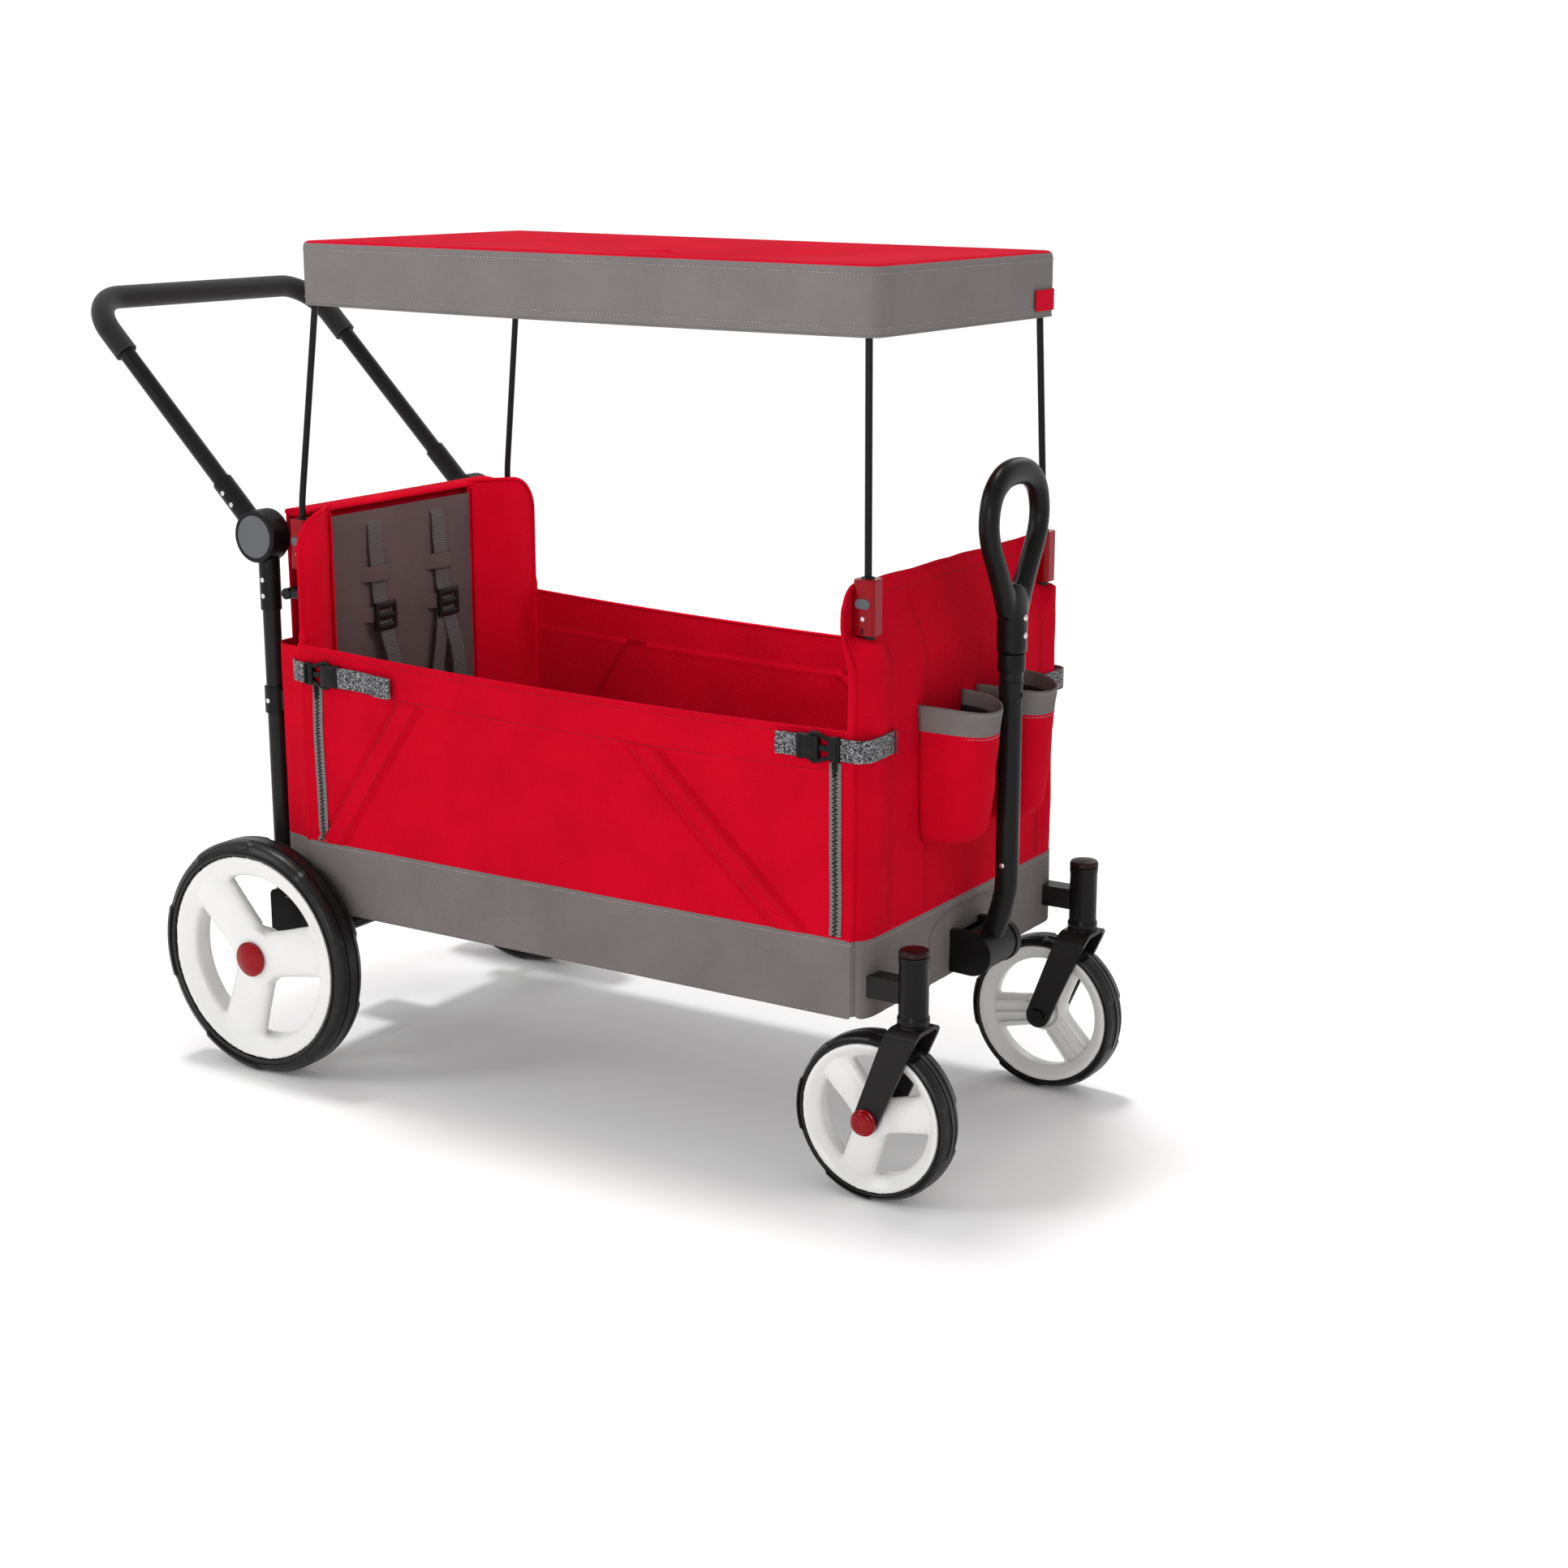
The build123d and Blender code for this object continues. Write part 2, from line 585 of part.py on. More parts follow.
def pocket():
    """D-shaped cup pocket, open at the top, on the front panel."""
    depth, half_width, wall = 72.0, 50.0, 3.0
    low_z, high_z, middle_y = 372.0, 540.0, 67.0
    half_plane = Pos(depth, 0) * Rectangle(2 * depth, 4 * half_width)
    outer = Ellipse(depth, half_width) & half_plane
    inner = Ellipse(depth - wall, half_width - wall) & Pos(wall, 0) * half_plane
    body = extrude(outer, high_z - low_z) - Pos(0, 0, wall) * extrude(inner, high_z - low_z)
    return Pos(FRONT_FACE_X + 0.3, middle_y, low_z) * body


def pull_yoke():
    """Two D-shaped ears and the base that joins them to the lower crossbar."""
    disc = Pos(PULL_PIVOT_X, PULL_PIVOT_Z) * Circle(BARREL_R + 1.5)
    back = Pos(850, PULL_PIVOT_Z) * Rectangle(8, 2 * BARREL_R)
    ear_outline = make_hull((disc + back).edges())
    ear = side_plate(ear_outline, BARREL_HALF + 0.3, YOKE_HALF)
    base = block((846, -YOKE_HALF, 222), (854, YOKE_HALF, 258))
    yoke = ear + mirrored(ear) + base
    yoke -= bar((FRONT_TUBE_X, -100, 240), (FRONT_TUBE_X, 100, 240), 9)
    return yoke - pull_pin()


def pull_pin():
    half = YOKE_HALF - 1
    return bar((PULL_PIVOT_X, -half, PULL_PIVOT_Z), (PULL_PIVOT_X, half, PULL_PIVOT_Z), HINGE_PIN_R)


def front_end():
    save("front_end_frame", front_end_frame())
    save("front_hinge_pins", hinge_rod(FRONT_HINGE_X, HINGE_Z, 168), pull_pin())
    save("front_panel", front_panel())
    save("pocket_left", pocket())
    save("pocket_right", mirrored(pocket()))
    save("pull_yoke", pull_yoke())
    save("canopy_sockets_front", pair(canopy_socket(FRONT_TUBE_X, FRONT_TUBE_Y)))
    save("buckles_front", pair(buckle(800)))
    button = socket_button(FRONT_TUBE_X, FRONT_TUBE_Y)
    save("socket_button_front_left", button)
    save("socket_button_front_right", mirrored(button))


# ---------------------------------------------------------------- pull handle


def tube_foot():
    """Lower end of the outer tube, which bends back into the barrel."""
    bend = Spline(
        [(PULL_X, 0, PULL_BEND_Z), (PULL_X - 4.5, 0, 294), (PULL_PIVOT_X + 7.5, 0, 257)],
        tangents=[(0, 0, -1), (-0.5, 0, -1)],
    )
    return sweep(Plane(origin=bend @ 0, z_dir=bend % 0) * Circle(PULL_TUBE_R), path=bend)


def pull_knuckle():
    """Barrel between the ears, pocketed for the end of the outer tube."""
    low, high = (PULL_PIVOT_X, -BARREL_HALF, PULL_PIVOT_Z), (PULL_PIVOT_X, BARREL_HALF, PULL_PIVOT_Z)
    barrel = bar(low, high, BARREL_R) - tube_foot()
    return barrel - bar(low, high, HINGE_PIN_R + RUNNING_FIT)


def pull_tube_outer():
    tube = bar((PULL_X, 0, PULL_BEND_Z), (PULL_X, 0, GRIP_BOTTOM - 1), PULL_TUBE_R)
    tube -= bar((PULL_X, 0, PULL_BEND_Z), (PULL_X, 0, GRIP_BOTTOM), PULL_INNER_R + RUNNING_FIT)
    return tube + tube_foot()


def pull_tube_inner():
    return bar((PULL_X, 0, 330), (PULL_X, 0, 640), PULL_INNER_R)


def pull_grip():
    """Closed loop grip in the plane across the wagon, on a round socket."""
    thickness = 24.0
    crown_r, crown_z = 71.0, GRIP_TOP - 71.0
    hole_r, hole_z = 48.5, 719.0
    outer = Pos(0, crown_z) * Circle(crown_r) + Pos(0, 700) * Rectangle(2 * crown_r, 20)
    outer += Pos(0, 640) * Rectangle(34, 20)
    inner = Pos(0, hole_z) * Circle(hole_r) + Pos(0, 704) * Rectangle(2 * hole_r, 12)
    inner += Pos(0, 671) * Circle(6)
    face = make_hull(outer.edges()) - make_hull(inner.edges())
    along_x = Plane(origin=(PULL_X - thickness / 2, 0, 0), x_dir=(0, 1, 0), z_dir=(1, 0, 0))
    loop = extrude(along_x * face, thickness)
    rims = loop.edges().group_by(Axis.X)
    loop = fillet(rims[0] + rims[-1], 8)
    socket = bar((PULL_X, 0, GRIP_BOTTOM), (PULL_X, 0, 648), 17)
    return loop + socket - bar((PULL_X, 0, 500), (PULL_X, 0, 640), PULL_INNER_R)


def pull_handle():
    save("pull_knuckle", pull_knuckle())
    save("pull_tube_outer", pull_tube_outer())
    save("pull_tube_inner", pull_tube_inner())
    save("pull_grip", pull_grip())


# ---------------------------------------------------------------- canopy


def canopy_bow(foot_x, foot_y, top_x):
    """Two rods, upright in their sockets and then leaning, and the bar across their tops."""
    top_y, top_z = 192.0, 1006.0
    path = FilletPolyline(
        (foot_x, foot_y, 646), (foot_x, foot_y, 712), (top_x, top_y, top_z), radius=200
    )
    section = Plane(origin=path @ 0, z_dir=path % 0) * Circle(ROD_R)
    rod = sweep(section, path=path)
    crossbar = bar((top_x, -top_y, top_z - 4), (top_x, top_y, top_z - 4), ROD_R)
    for side in pair(rod):
        crossbar -= side
    crossbar = crossbar.solids().sort_by(SortBy.VOLUME)[-1]
    return pair(rod) + [crossbar]


def canopy_top():
    """Sun cover: a shallow box of cloth, open underneath."""
    shell = 3.0
    low = [a + shell for a in CANOPY_LOW[:2]] + [CANOPY_LOW[2] - 1]
    high = [a - shell for a in CANOPY_HIGH]
    outer = block(CANOPY_LOW, CANOPY_HIGH)
    outer = fillet(outer.edges().filter_by(Axis.Z), 12)
    inner = fillet(block(low, high).edges().filter_by(Axis.Z), 9)
    return outer - inner


def canopy():
    save("canopy_bow_rear", canopy_bow(REAR_TUBE_X, REAR_TUBE_Y, 72))
    save("canopy_bow_front", canopy_bow(FRONT_TUBE_X, FRONT_TUBE_Y, 830))
    save("canopy_top", canopy_top())


os.makedirs("parts", exist_ok=True)
rear_wheels()
front_wheels()
castors()
rear_end()
push_handle()
folding_floor()
front_end()
pull_handle()
canopy()
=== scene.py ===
import math

import bmesh
import bpy
from mathutils import Matrix, Vector, noise


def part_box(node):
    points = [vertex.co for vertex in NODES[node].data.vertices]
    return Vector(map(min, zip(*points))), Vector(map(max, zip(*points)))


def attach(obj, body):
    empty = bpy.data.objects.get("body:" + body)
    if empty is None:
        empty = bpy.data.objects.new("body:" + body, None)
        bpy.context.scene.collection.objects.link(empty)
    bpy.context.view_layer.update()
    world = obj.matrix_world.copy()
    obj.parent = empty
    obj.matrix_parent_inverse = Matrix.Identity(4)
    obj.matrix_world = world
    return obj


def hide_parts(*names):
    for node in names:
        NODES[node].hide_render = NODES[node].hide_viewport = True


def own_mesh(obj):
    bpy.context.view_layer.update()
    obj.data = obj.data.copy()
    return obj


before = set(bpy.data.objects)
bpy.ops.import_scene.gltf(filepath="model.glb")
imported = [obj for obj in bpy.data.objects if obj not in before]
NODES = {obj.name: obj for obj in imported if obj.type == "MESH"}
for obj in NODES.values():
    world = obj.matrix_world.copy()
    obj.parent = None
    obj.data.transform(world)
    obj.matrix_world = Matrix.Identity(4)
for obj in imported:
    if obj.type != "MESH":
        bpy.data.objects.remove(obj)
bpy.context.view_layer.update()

# Points below are in millimetres: x from the rear axle, y to the wagon's left, z from the floor.
SCENE = bpy.context.scene
AXLE_X = sum(corner.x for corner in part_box("rear_axle")) / 2
SIDES = {"left": 1, "right": -1}
UP = Vector((0, 0, 1))
ALONG = Vector((1, 0, 0))
ACROSS = Vector((0, 1, 0))

# Tub
REAR_EDGE_X = 50.0
FRONT_EDGE_X = 838.0
SIDE_Y = 233.0
BAND_TOP = 300.0
TUB_BOTTOM = 211.0
HEM = 48.0
FRONT_X = 852.0
FRONT_HALF_WIDTH = 229.0
FRONT_TOP = 686.0
STEP_BACK = 28.0
FRONT_TUBE_Y = 203.0
CORNER_DROP = 14.0
CORNER_ROUND = 5.0
REAR_TOP = 702.0
CLOTH = 2.4
THREAD = 0.42
ZIP_X = (79.0, 818.0)
ZIP_LOW, ZIP_HIGH = 303.0, 497.0

# Wheels: centre, tyre radius, rim radius, half width, hub radius, spoke half width
REAR_WHEEL = (0.0, 268.5, 150.0, 150.0, 131.6, 22.5, 37.0, 30.0)
FRONT_WHEEL = (858.0, 208.0, 97.0, 97.0, 86.6, 19.0, 25.0, 20.5)
CASTOR = (902.4, 208.0)
SPOKE_ANGLES = (13, 133, 253)
WHEEL_TURNS = {"front_left": 58, "rear_left": 25}
BAND_SHARE = 0.79

# Pull handle and canopy
PULL_X = 905.0
CANOPY_X = (54.5, 846.0)
CANOPY_HALF_WIDTH = 205.0
CANOPY_BOTTOM = 945.0
CANOPY_TOP = 1019.0
CANOPY_LIFT = 8.0
CANOPY_CORNER = 14.0
CANOPY_EDGE = 6.0
VALANCE_DROP = 67.0

# Studio, in metres
FLOOR_RADIUS = 60.0
LOOK_AT = Vector((0, 0, 0.45))
CAMERA_PLACE = (1.8830, -2.5090, 1.1453)
CAMERA_YAW, CAMERA_PITCH = 0.5659, 0.2472
CAMERA_LENS = 58.86
# Lamps: name, kind, place, size (an angle for the sun), power
LAMPS = (
    ("overhead", "SUN", (-0.55, 0.3, 3.0), math.radians(9), 1.35),
    ("key", "AREA", (-2.4, -3.0, 2.6), 1.4, 34.0),
    ("fill", "AREA", (1.3, -3.8, 1.35), 1.2, 26.0),
    ("rim", "AREA", (0.5, 3.6, 3.0), 2.0, 26.0),
    ("tub", "AREA", (0.2, 0.0, 0.93), 0.35, 2.3),
)


# ---------------------------------------------------------------- mesh helpers


def metres(point):
    return Vector((AXLE_X + point[0] / 1000, point[1] / 1000, point[2] / 1000))


def ease(low, high, value):
    """0 below low, 1 above high, smooth in between."""
    share = min(1.0, max(0.0, (value - low) / (high - low)))
    return share * share * (3 - 2 * share)


def waves(x, y, z, size, height):
    """Soft random rise and fall of the given size and height."""
    return height * noise.noise(Vector((x, y, z)) / size)


def add_object(name, mesh, material):
    mesh.materials.append(material)
    made = bpy.data.objects.new(name, mesh)
    SCENE.collection.objects.link(made)
    return made


def face_outward(mesh, weld=0.0):
    """Turn all faces the same way, after joining points closer than weld metres."""
    work = bmesh.new()
    work.from_mesh(mesh)
    if weld:
        bmesh.ops.remove_doubles(work, verts=work.verts, dist=weld)
    bmesh.ops.recalc_face_normals(work, faces=work.faces)
    work.to_mesh(mesh)
    work.free()


def mesh_at_origin(name, shape):
    """Mesh from (points, faces) in millimetres about the origin."""
    mesh = bpy.data.meshes.new(name)
    mesh.from_pydata([Vector(point) / 1000 for point in shape[0]], [], shape[1])
    face_outward(mesh)
    return mesh


def make_piece(name, shape, material, body, closed=True, sharp=40):
    """Object from (points, faces) in millimetres, smooth apart from edges sharper than that."""
    points, faces = shape
    mesh = bpy.data.meshes.new(name)
    mesh.from_pydata([metres(p) for p in points], [], faces)
    if closed:
        face_outward(mesh)
    mesh.shade_smooth()
    if sharp:
        mesh.set_sharp_from_angle(angle=math.radians(sharp))
    made = add_object(name, mesh, material)
    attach(made, body)
    return made


def apply_modifiers(piece):
    graph = bpy.context.evaluated_depsgraph_get()
    mesh = bpy.data.meshes.new_from_object(piece.evaluated_get(graph))
    piece.modifiers.clear()
    piece.data = mesh


def merge(*shapes):
    """Several (points, faces) as one."""
    points, faces = [], []
    for more_points, more_faces in shapes:
        start = len(points)
        points.extend(more_points)
        faces.extend(tuple(i + start for i in face) for face in more_faces)
    return points, faces


def mirror(shape, side):
    """The shape on the left for side 1, and on the right for side -1."""
    points, faces = shape
    if side > 0:
        return shape
    return [(p[0], -p[1], p[2]) for p in points], [face[::-1] for face in faces]


def grid(columns, rows, place):
    """Sheet of quads whose points are place(u, v), with u and v from 0 to 1."""
    points = [place(c / columns, r / rows) for r in range(rows + 1) for c in range(columns + 1)]
    faces = []
    for r in range(rows):
        for c in range(columns):
            a = r * (columns + 1) + c
            b = a + columns + 1
            faces.append((a, a + 1, b + 1, b))
    return points, faces


def split(share, break_share, low, middle, high):
    """Runs low to middle up to the break share, and middle to high after it."""
    if share <= break_share:
        return low + (middle - low) * share / break_share
    return middle + (high - middle) * (share - break_share) / (1 - break_share)


def second_color(piece, material, first_face, last_face):
    """Give a run of faces the second material."""
    piece.data.materials.append(material)
    for face in piece.data.polygons[first_face:last_face]:
        face.material_index = 1


def loft(rings, loop=False):
    """Skin over equal rings of points; an open run gets end caps."""
    count = len(rings[0])
    points = [point for ring in rings for point in ring]
    faces = []
    for i in range(len(rings) if loop else len(rings) - 1):
        a, b = i * count, (i + 1) % len(rings) * count
        for k in range(count):
            n = (k + 1) % count
            faces.append((a + k, a + n, b + n, b + k))
    if not loop:
        last = (len(rings) - 1) * count
        faces.append(tuple(range(count - 1, -1, -1)))
        faces.append(tuple(range(last, last + count)))
    return points, faces


def oval(centre, first, second, half_first, half_second, squareness, count):
    """Ring of points: an ellipse at squareness 1, nearer to a rectangle as that falls."""
    ring = []
    for k in range(count):
        angle = math.tau * (k + 0.5) / count
        c, s = math.cos(angle), math.sin(angle)
        a = math.copysign(abs(c) ** squareness, c) * half_first
        b = math.copysign(abs(s) ** squareness, s) * half_second
        ring.append(Vector(centre) + first * a + second * b)
    return ring


def directions(path):
    ends = len(path) - 1
    return [(path[min(i + 1, ends)] - path[max(i - 1, 0)]).normalized() for i in range(len(path))]


def strap(path, wide, width, thickness, squareness=0.4, count=16):
    """Flat band along a path, its width in the direction wide."""
    rings = []
    for point, direction in zip(path, directions(path)):
        normal = direction.cross(wide).normalized()
        rings.append(oval(point, wide, normal, width / 2, thickness / 2, squareness, count))
    return loft(rings)


def rod(path, radius, reference=UP, count=12):
    """Round bar along a path; radius may be one number or one for each point."""
    radii = radius if isinstance(radius, list) else [radius] * len(path)
    rings = []
    for point, direction, r in zip(path, directions(path), radii):
        first = direction.cross(reference).normalized()
        rings.append(oval(point, first, direction.cross(first), r, r, 1.0, count))
    return loft(rings)


def curve_through(points, per_span):
    """Smooth path through the points."""
    control = [Vector(p) for p in points]
    control = [2 * control[0] - control[1]] + control + [2 * control[-1] - control[-2]]
    path = []
    for a, b, c, d in zip(control, control[1:], control[2:], control[3:]):
        for step in range(per_span):
            t = step / per_span
            near = 2 * b + (c - a) * t
            path.append(0.5 * (near + (2 * a - 5 * b + 4 * c - d) * t**2 + (3 * b - a - 3 * c + d) * t**3))
    return path + [control[-2]]


def turned(profile, centre, axis=UP, segments=64, shift=None):
    """Closed (radius, along) profile turned round an axis; shift(angle, r, a) may move points."""
    first = ALONG
    second = axis.cross(first)
    rings = []
    for k in range(segments):
        angle = math.tau * k / segments
        outward = first * math.cos(angle) + second * math.sin(angle)
        ring = []
        for radius, along in profile:
            if shift:
                radius, along = shift(angle, radius, along)
            ring.append(Vector(centre) + outward * radius + axis * along)
        rings.append(ring)
    return loft(rings, loop=True)


def walk(path, pitch):
    """Points at even steps along a path, each with its direction."""
    found, left_over = [], pitch / 2
    for a, b in zip(path, path[1:]):
        length = (b - a).length
        place = left_over
        while place < length:
            found.append((a.lerp(b, place / length), (b - a).normalized()))
            place += pitch
        left_over = place - length
    return found


def stitches(path, normal, pitch=4.2, length=2.9):
    """Row of short threads that lie on a surface with that normal."""
    shapes = []
    for point, direction in walk(path, pitch):
        side = direction.cross(normal).normalized()
        rings = []
        for along, scale in ((-0.5, 0.35), (-0.28, 1.0), (0.28, 1.0), (0.5, 0.35)):
            centre = point + direction * (along * length) + normal * (THREAD * (scale - 0.6))
            rings.append(oval(centre, side, normal, THREAD * scale, THREAD * scale, 1.0, 5))
        shapes.append(loft(rings))
    return merge(*shapes)


def thicken(piece, thickness):
    """Give a sheet its thickness, evenly to both sides."""
    solidify = piece.modifiers.new("thickness", "SOLIDIFY")
    solidify.thickness = thickness / 1000
    solidify.offset = 0
    apply_modifiers(piece)


def shortens(piece):
    """Gives the piece its own copy of its mesh."""
    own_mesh(piece)


def fuse(name, shape, material, voxel, rounds):
    """Overlapping closed shapes melted into one skin with soft joins."""
    made = add_object(name, mesh_at_origin(name, shape), material)
    remesh = made.modifiers.new("fuse", "REMESH")
    remesh.mode = "VOXEL"
    remesh.voxel_size = voxel / 1000
    remesh.use_smooth_shade = True
    soften = made.modifiers.new("soften", "SMOOTH")
    soften.factor = 0.6
    soften.iterations = rounds
    apply_modifiers(made)
    mesh = made.data
    bpy.data.objects.remove(made)
    return mesh


def place_copy(name, mesh, material, centre, side, body, turn=0):
    """Copy of a mesh made about the origin, turned about Y and mirrored for the right side."""
    copy = mesh.copy()
    copy.transform(Matrix.Rotation(math.radians(-turn), 4, "Y"))
    copy.transform(Matrix.Diagonal((1, side, 1, 1)))
    if side < 0:
        copy.flip_normals()
    copy.transform(Matrix.Translation(metres(centre)))
    copy.materials.clear()
    made = add_object(name, copy, material)
    copy.shade_smooth()
    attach(made, body)
    return made


# ---------------------------------------------------------------- materials


def add_node(material, kind, **values):
    """New node; values name its inputs with underscores for spaces."""
    made = material.node_tree.nodes.new(kind)
    for name, value in values.items():
        made.inputs[name.replace("_", " ")].default_value = value
    return made


def link(material, output, target):
    material.node_tree.links.new(output, target)


def base_material(name, color, roughness, metallic=0.0, sheen=0.0, specular=0.5):
    material = bpy.data.materials.new(name)
    material.use_nodes = True
    shader = material.node_tree.nodes["Principled BSDF"]
    shader.inputs["Base Color"].default_value = (*color, 1)
    shader.inputs["Roughness"].default_value = roughness
    shader.inputs["Metallic"].default_value = metallic
    shader.inputs["Sheen Weight"].default_value = sheen
    shader.inputs["Sheen Roughness"].default_value = 0.5
    shader.inputs["Specular IOR Level"].default_value = specular
    return material, shader


def coordinates(material):
    return add_node(material, "ShaderNodeTexCoord").outputs["Object"]


def noise_at(material, scale, detail=4.0):
    made = add_node(material, "ShaderNodeTexNoise", Scale=scale, Detail=detail)
    link(material, coordinates(material), made.inputs["Vector"])
    return made.outputs["Fac"]


def ramp(material, source, stops):
    """Colour ramp with (position, colour) stops."""
    made = add_node(material, "ShaderNodeValToRGB")
    elements = made.color_ramp.elements
    elements[0].position, elements[0].color = stops[0][0], (*stops[0][1], 1)
    elements[1].position, elements[1].color = stops[-1][0], (*stops[-1][1], 1)
    for position, color in stops[1:-1]:
        elements.new(position).color = (*color, 1)
    link(material, source, made.inputs["Fac"])
    return made


def shade(color, factor):
    return tuple(min(1.0, c * factor) for c in color)


def vary_color(material, shader, source, color, low, high):
    made = ramp(material, source, [(0.3, shade(color, low)), (0.7, shade(color, high))])
    link(material, made.outputs["Color"], shader.inputs["Base Color"])
    return made


def vary_roughness(material, shader, scale, low, high):
    made = add_node(material, "ShaderNodeMapRange", To_Min=low, To_Max=high)
    link(material, noise_at(material, scale), made.inputs["Value"])
    link(material, made.outputs["Result"], shader.inputs["Roughness"])


def add_bump(material, shader, height, strength, distance):
    made = add_node(material, "ShaderNodeBump", Strength=strength, Distance=distance)
    link(material, height, made.inputs["Height"])
    link(material, made.outputs["Normal"], shader.inputs["Normal"])


def total(material, first, second, share):
    """first plus share times second."""
    made = add_node(material, "ShaderNodeMath")
    made.operation = "MULTIPLY_ADD"
    link(material, second, made.inputs[0])
    made.inputs[1].default_value = share
    link(material, first, made.inputs[2])
    return made.outputs[0]


def yarn(material, period, direction):
    """Even ribs with that spacing, in metres."""
    made = add_node(material, "ShaderNodeTexWave", Scale=math.tau / (20 * period), Distortion=0.6)
    made.inputs["Detail Scale"].default_value = 2.0
    made.bands_direction = direction
    link(material, coordinates(material), made.inputs["Vector"])
    return made.outputs["Fac"]


def woven(name, color, period=0.0016, spread=0.11):
    """Cloth: diagonal twill ribs, flecked yarn and a soft unevenness of tone."""
    material, shader = base_material(name, color, 0.92, specular=0.04)
    ribs = total(material, yarn(material, period, "DIAGONAL"), yarn(material, period * 0.8, "Z"), 0.5)
    flecks = noise_at(material, 900.0, 2.0)
    patches = noise_at(material, 14.0, 5.0)
    tone = total(material, patches, total(material, flecks, ribs, 0.2), 0.35)
    made = ramp(material, tone, [(0.45, shade(color, 1 - spread)), (0.95, shade(color, 1 + spread))])
    link(material, made.outputs["Color"], shader.inputs["Base Color"])
    add_bump(material, shader, total(material, ribs, flecks, 0.7), 0.45, 0.0004)
    return material


def tweed(name):
    """Webbing of mixed black, gray and white yarn with ribs across."""
    material, shader = base_material(name, (0.12, 0.12, 0.12), 0.85, sheen=0.1, specular=0.2)
    snap = add_node(material, "ShaderNodeVectorMath")
    snap.operation = "SNAP"
    link(material, coordinates(material), snap.inputs[0])
    snap.inputs[1].default_value = (0.0015, 0.0015, 0.0013)
    speckle = add_node(material, "ShaderNodeTexWhiteNoise")
    link(material, snap.outputs[0], speckle.inputs["Vector"])
    colors = [(0.0, (0.02, 0.02, 0.022)), (0.36, (0.1, 0.1, 0.105)), (0.7, (0.27, 0.27, 0.28))]
    made = ramp(material, speckle.outputs["Value"], colors)
    made.color_ramp.interpolation = "CONSTANT"
    link(material, made.outputs["Color"], shader.inputs["Base Color"])
    ribs = total(material, yarn(material, 0.0022, "X"), yarn(material, 0.0018, "Z"), 1.0)
    add_bump(material, shader, ribs, 0.5, 0.0005)
    return material


def ribbed_webbing(name, color, direction):
    material, shader = base_material(name, color, 0.7, sheen=0.15, specular=0.3)
    ribs = total(material, yarn(material, 0.003, direction), noise_at(material, 1100.0), 0.5)
    vary_color(material, shader, ribs, color, 0.6, 1.5)
    add_bump(material, shader, ribs, 0.6, 0.0007)
    return material


def painted(name, color):
    """Powder-coated metal: fine orange peel, and lighter where its edges are rubbed."""
    material, shader = base_material(name, color, 0.3, specular=0.13)
    wear = add_node(material, "ShaderNodeNewGeometry").outputs["Pointiness"]
    edges = ramp(material, wear, [(0.54, color), (0.62, shade(color, 2.2))])
    link(material, edges.outputs["Color"], shader.inputs["Base Color"])
    vary_roughness(material, shader, 35.0, 0.22, 0.34)
    add_bump(material, shader, noise_at(material, 1400.0), 0.12, 0.0002)
    return material


def moulded(name, color, low, high, grain, specular=0.14):
    """Moulded plastic: fine grain, small flow marks and uneven gloss."""
    material, shader = base_material(name, color, low, specular=specular)
    vary_color(material, shader, noise_at(material, 9.0, 6.0), color, 0.94, 1.05)
    vary_roughness(material, shader, 60.0, low, high)
    add_bump(material, shader, noise_at(material, 1800.0, 2.0), grain, 0.0002)
    return material


def rubber(name, color, roughness):
    material, shader = base_material(name, color, roughness, specular=0.26)
    vary_color(material, shader, noise_at(material, 70.0, 8.0), color, 0.75, 1.5)
    vary_roughness(material, shader, 120.0, roughness - 0.12, roughness + 0.1)
    add_bump(material, shader, noise_at(material, 2200.0, 3.0), 0.25, 0.0003)
    return material


def foam(name, color):
    """Closed-cell foam with small pores."""
    material, shader = base_material(name, color, 0.85, sheen=0.2, specular=0.2)
    pores = add_node(material, "ShaderNodeTexVoronoi", Scale=750.0)
    link(material, coordinates(material), pores.inputs["Vector"])
    vary_color(material, shader, pores.outputs["Distance"], color, 0.7, 1.3)
    add_bump(material, shader, pores.outputs["Distance"], 0.5, 0.0005)
    return material


def plated_steel(name):
    material, shader = base_material(name, (0.62, 0.62, 0.63), 0.3, metallic=1.0)
    vary_roughness(material, shader, 200.0, 0.2, 0.42)
    add_bump(material, shader, noise_at(material, 900.0), 0.1, 0.0002)
    return material


RED = woven("red_twill", (0.49, 0.0012, 0.013))
CANOPY_RED = woven("canopy_red", (0.56, 0.004, 0.022))
GRAY = woven("gray_twill", (0.158, 0.139, 0.137), spread=0.09)
VALANCE = woven("valance_gray", (0.185, 0.168, 0.166), spread=0.07)
TAUPE = woven("taupe_twill", (0.084, 0.06, 0.06), period=0.002)
LINING = woven("dark_lining", (0.02, 0.017, 0.017))
FLOOR_CLOTH = woven("floor_cloth", (0.1, 0.095, 0.095), period=0.0024)
# Stitching thread: its own red, made darker than the cloth as painted shade along the seams.
RED_THREAD_AND_SEAM_SHADE = rubber("red_thread_and_seam_shade", (0.2, 0.002, 0.006), 0.7)
GRAY_THREAD = rubber("gray_thread", (0.3, 0.29, 0.29), 0.7)
TWEED = tweed("tweed_webbing")
HARNESS = ribbed_webbing("harness_webbing", (0.04, 0.036, 0.037), "Z")
ZIP_TAPE = ribbed_webbing("zip_tape", (0.125, 0.115, 0.115), "Z")
BLACK_PAINT = painted("black_paint", (0.006, 0.0055, 0.0055))
BLACK_PLASTIC = moulded("black_plastic", (0.0055, 0.005, 0.005), 0.34, 0.46, 0.25)
GRIP_PLASTIC = moulded("grip_plastic", (0.0055, 0.005, 0.005), 0.28, 0.38, 0.15)
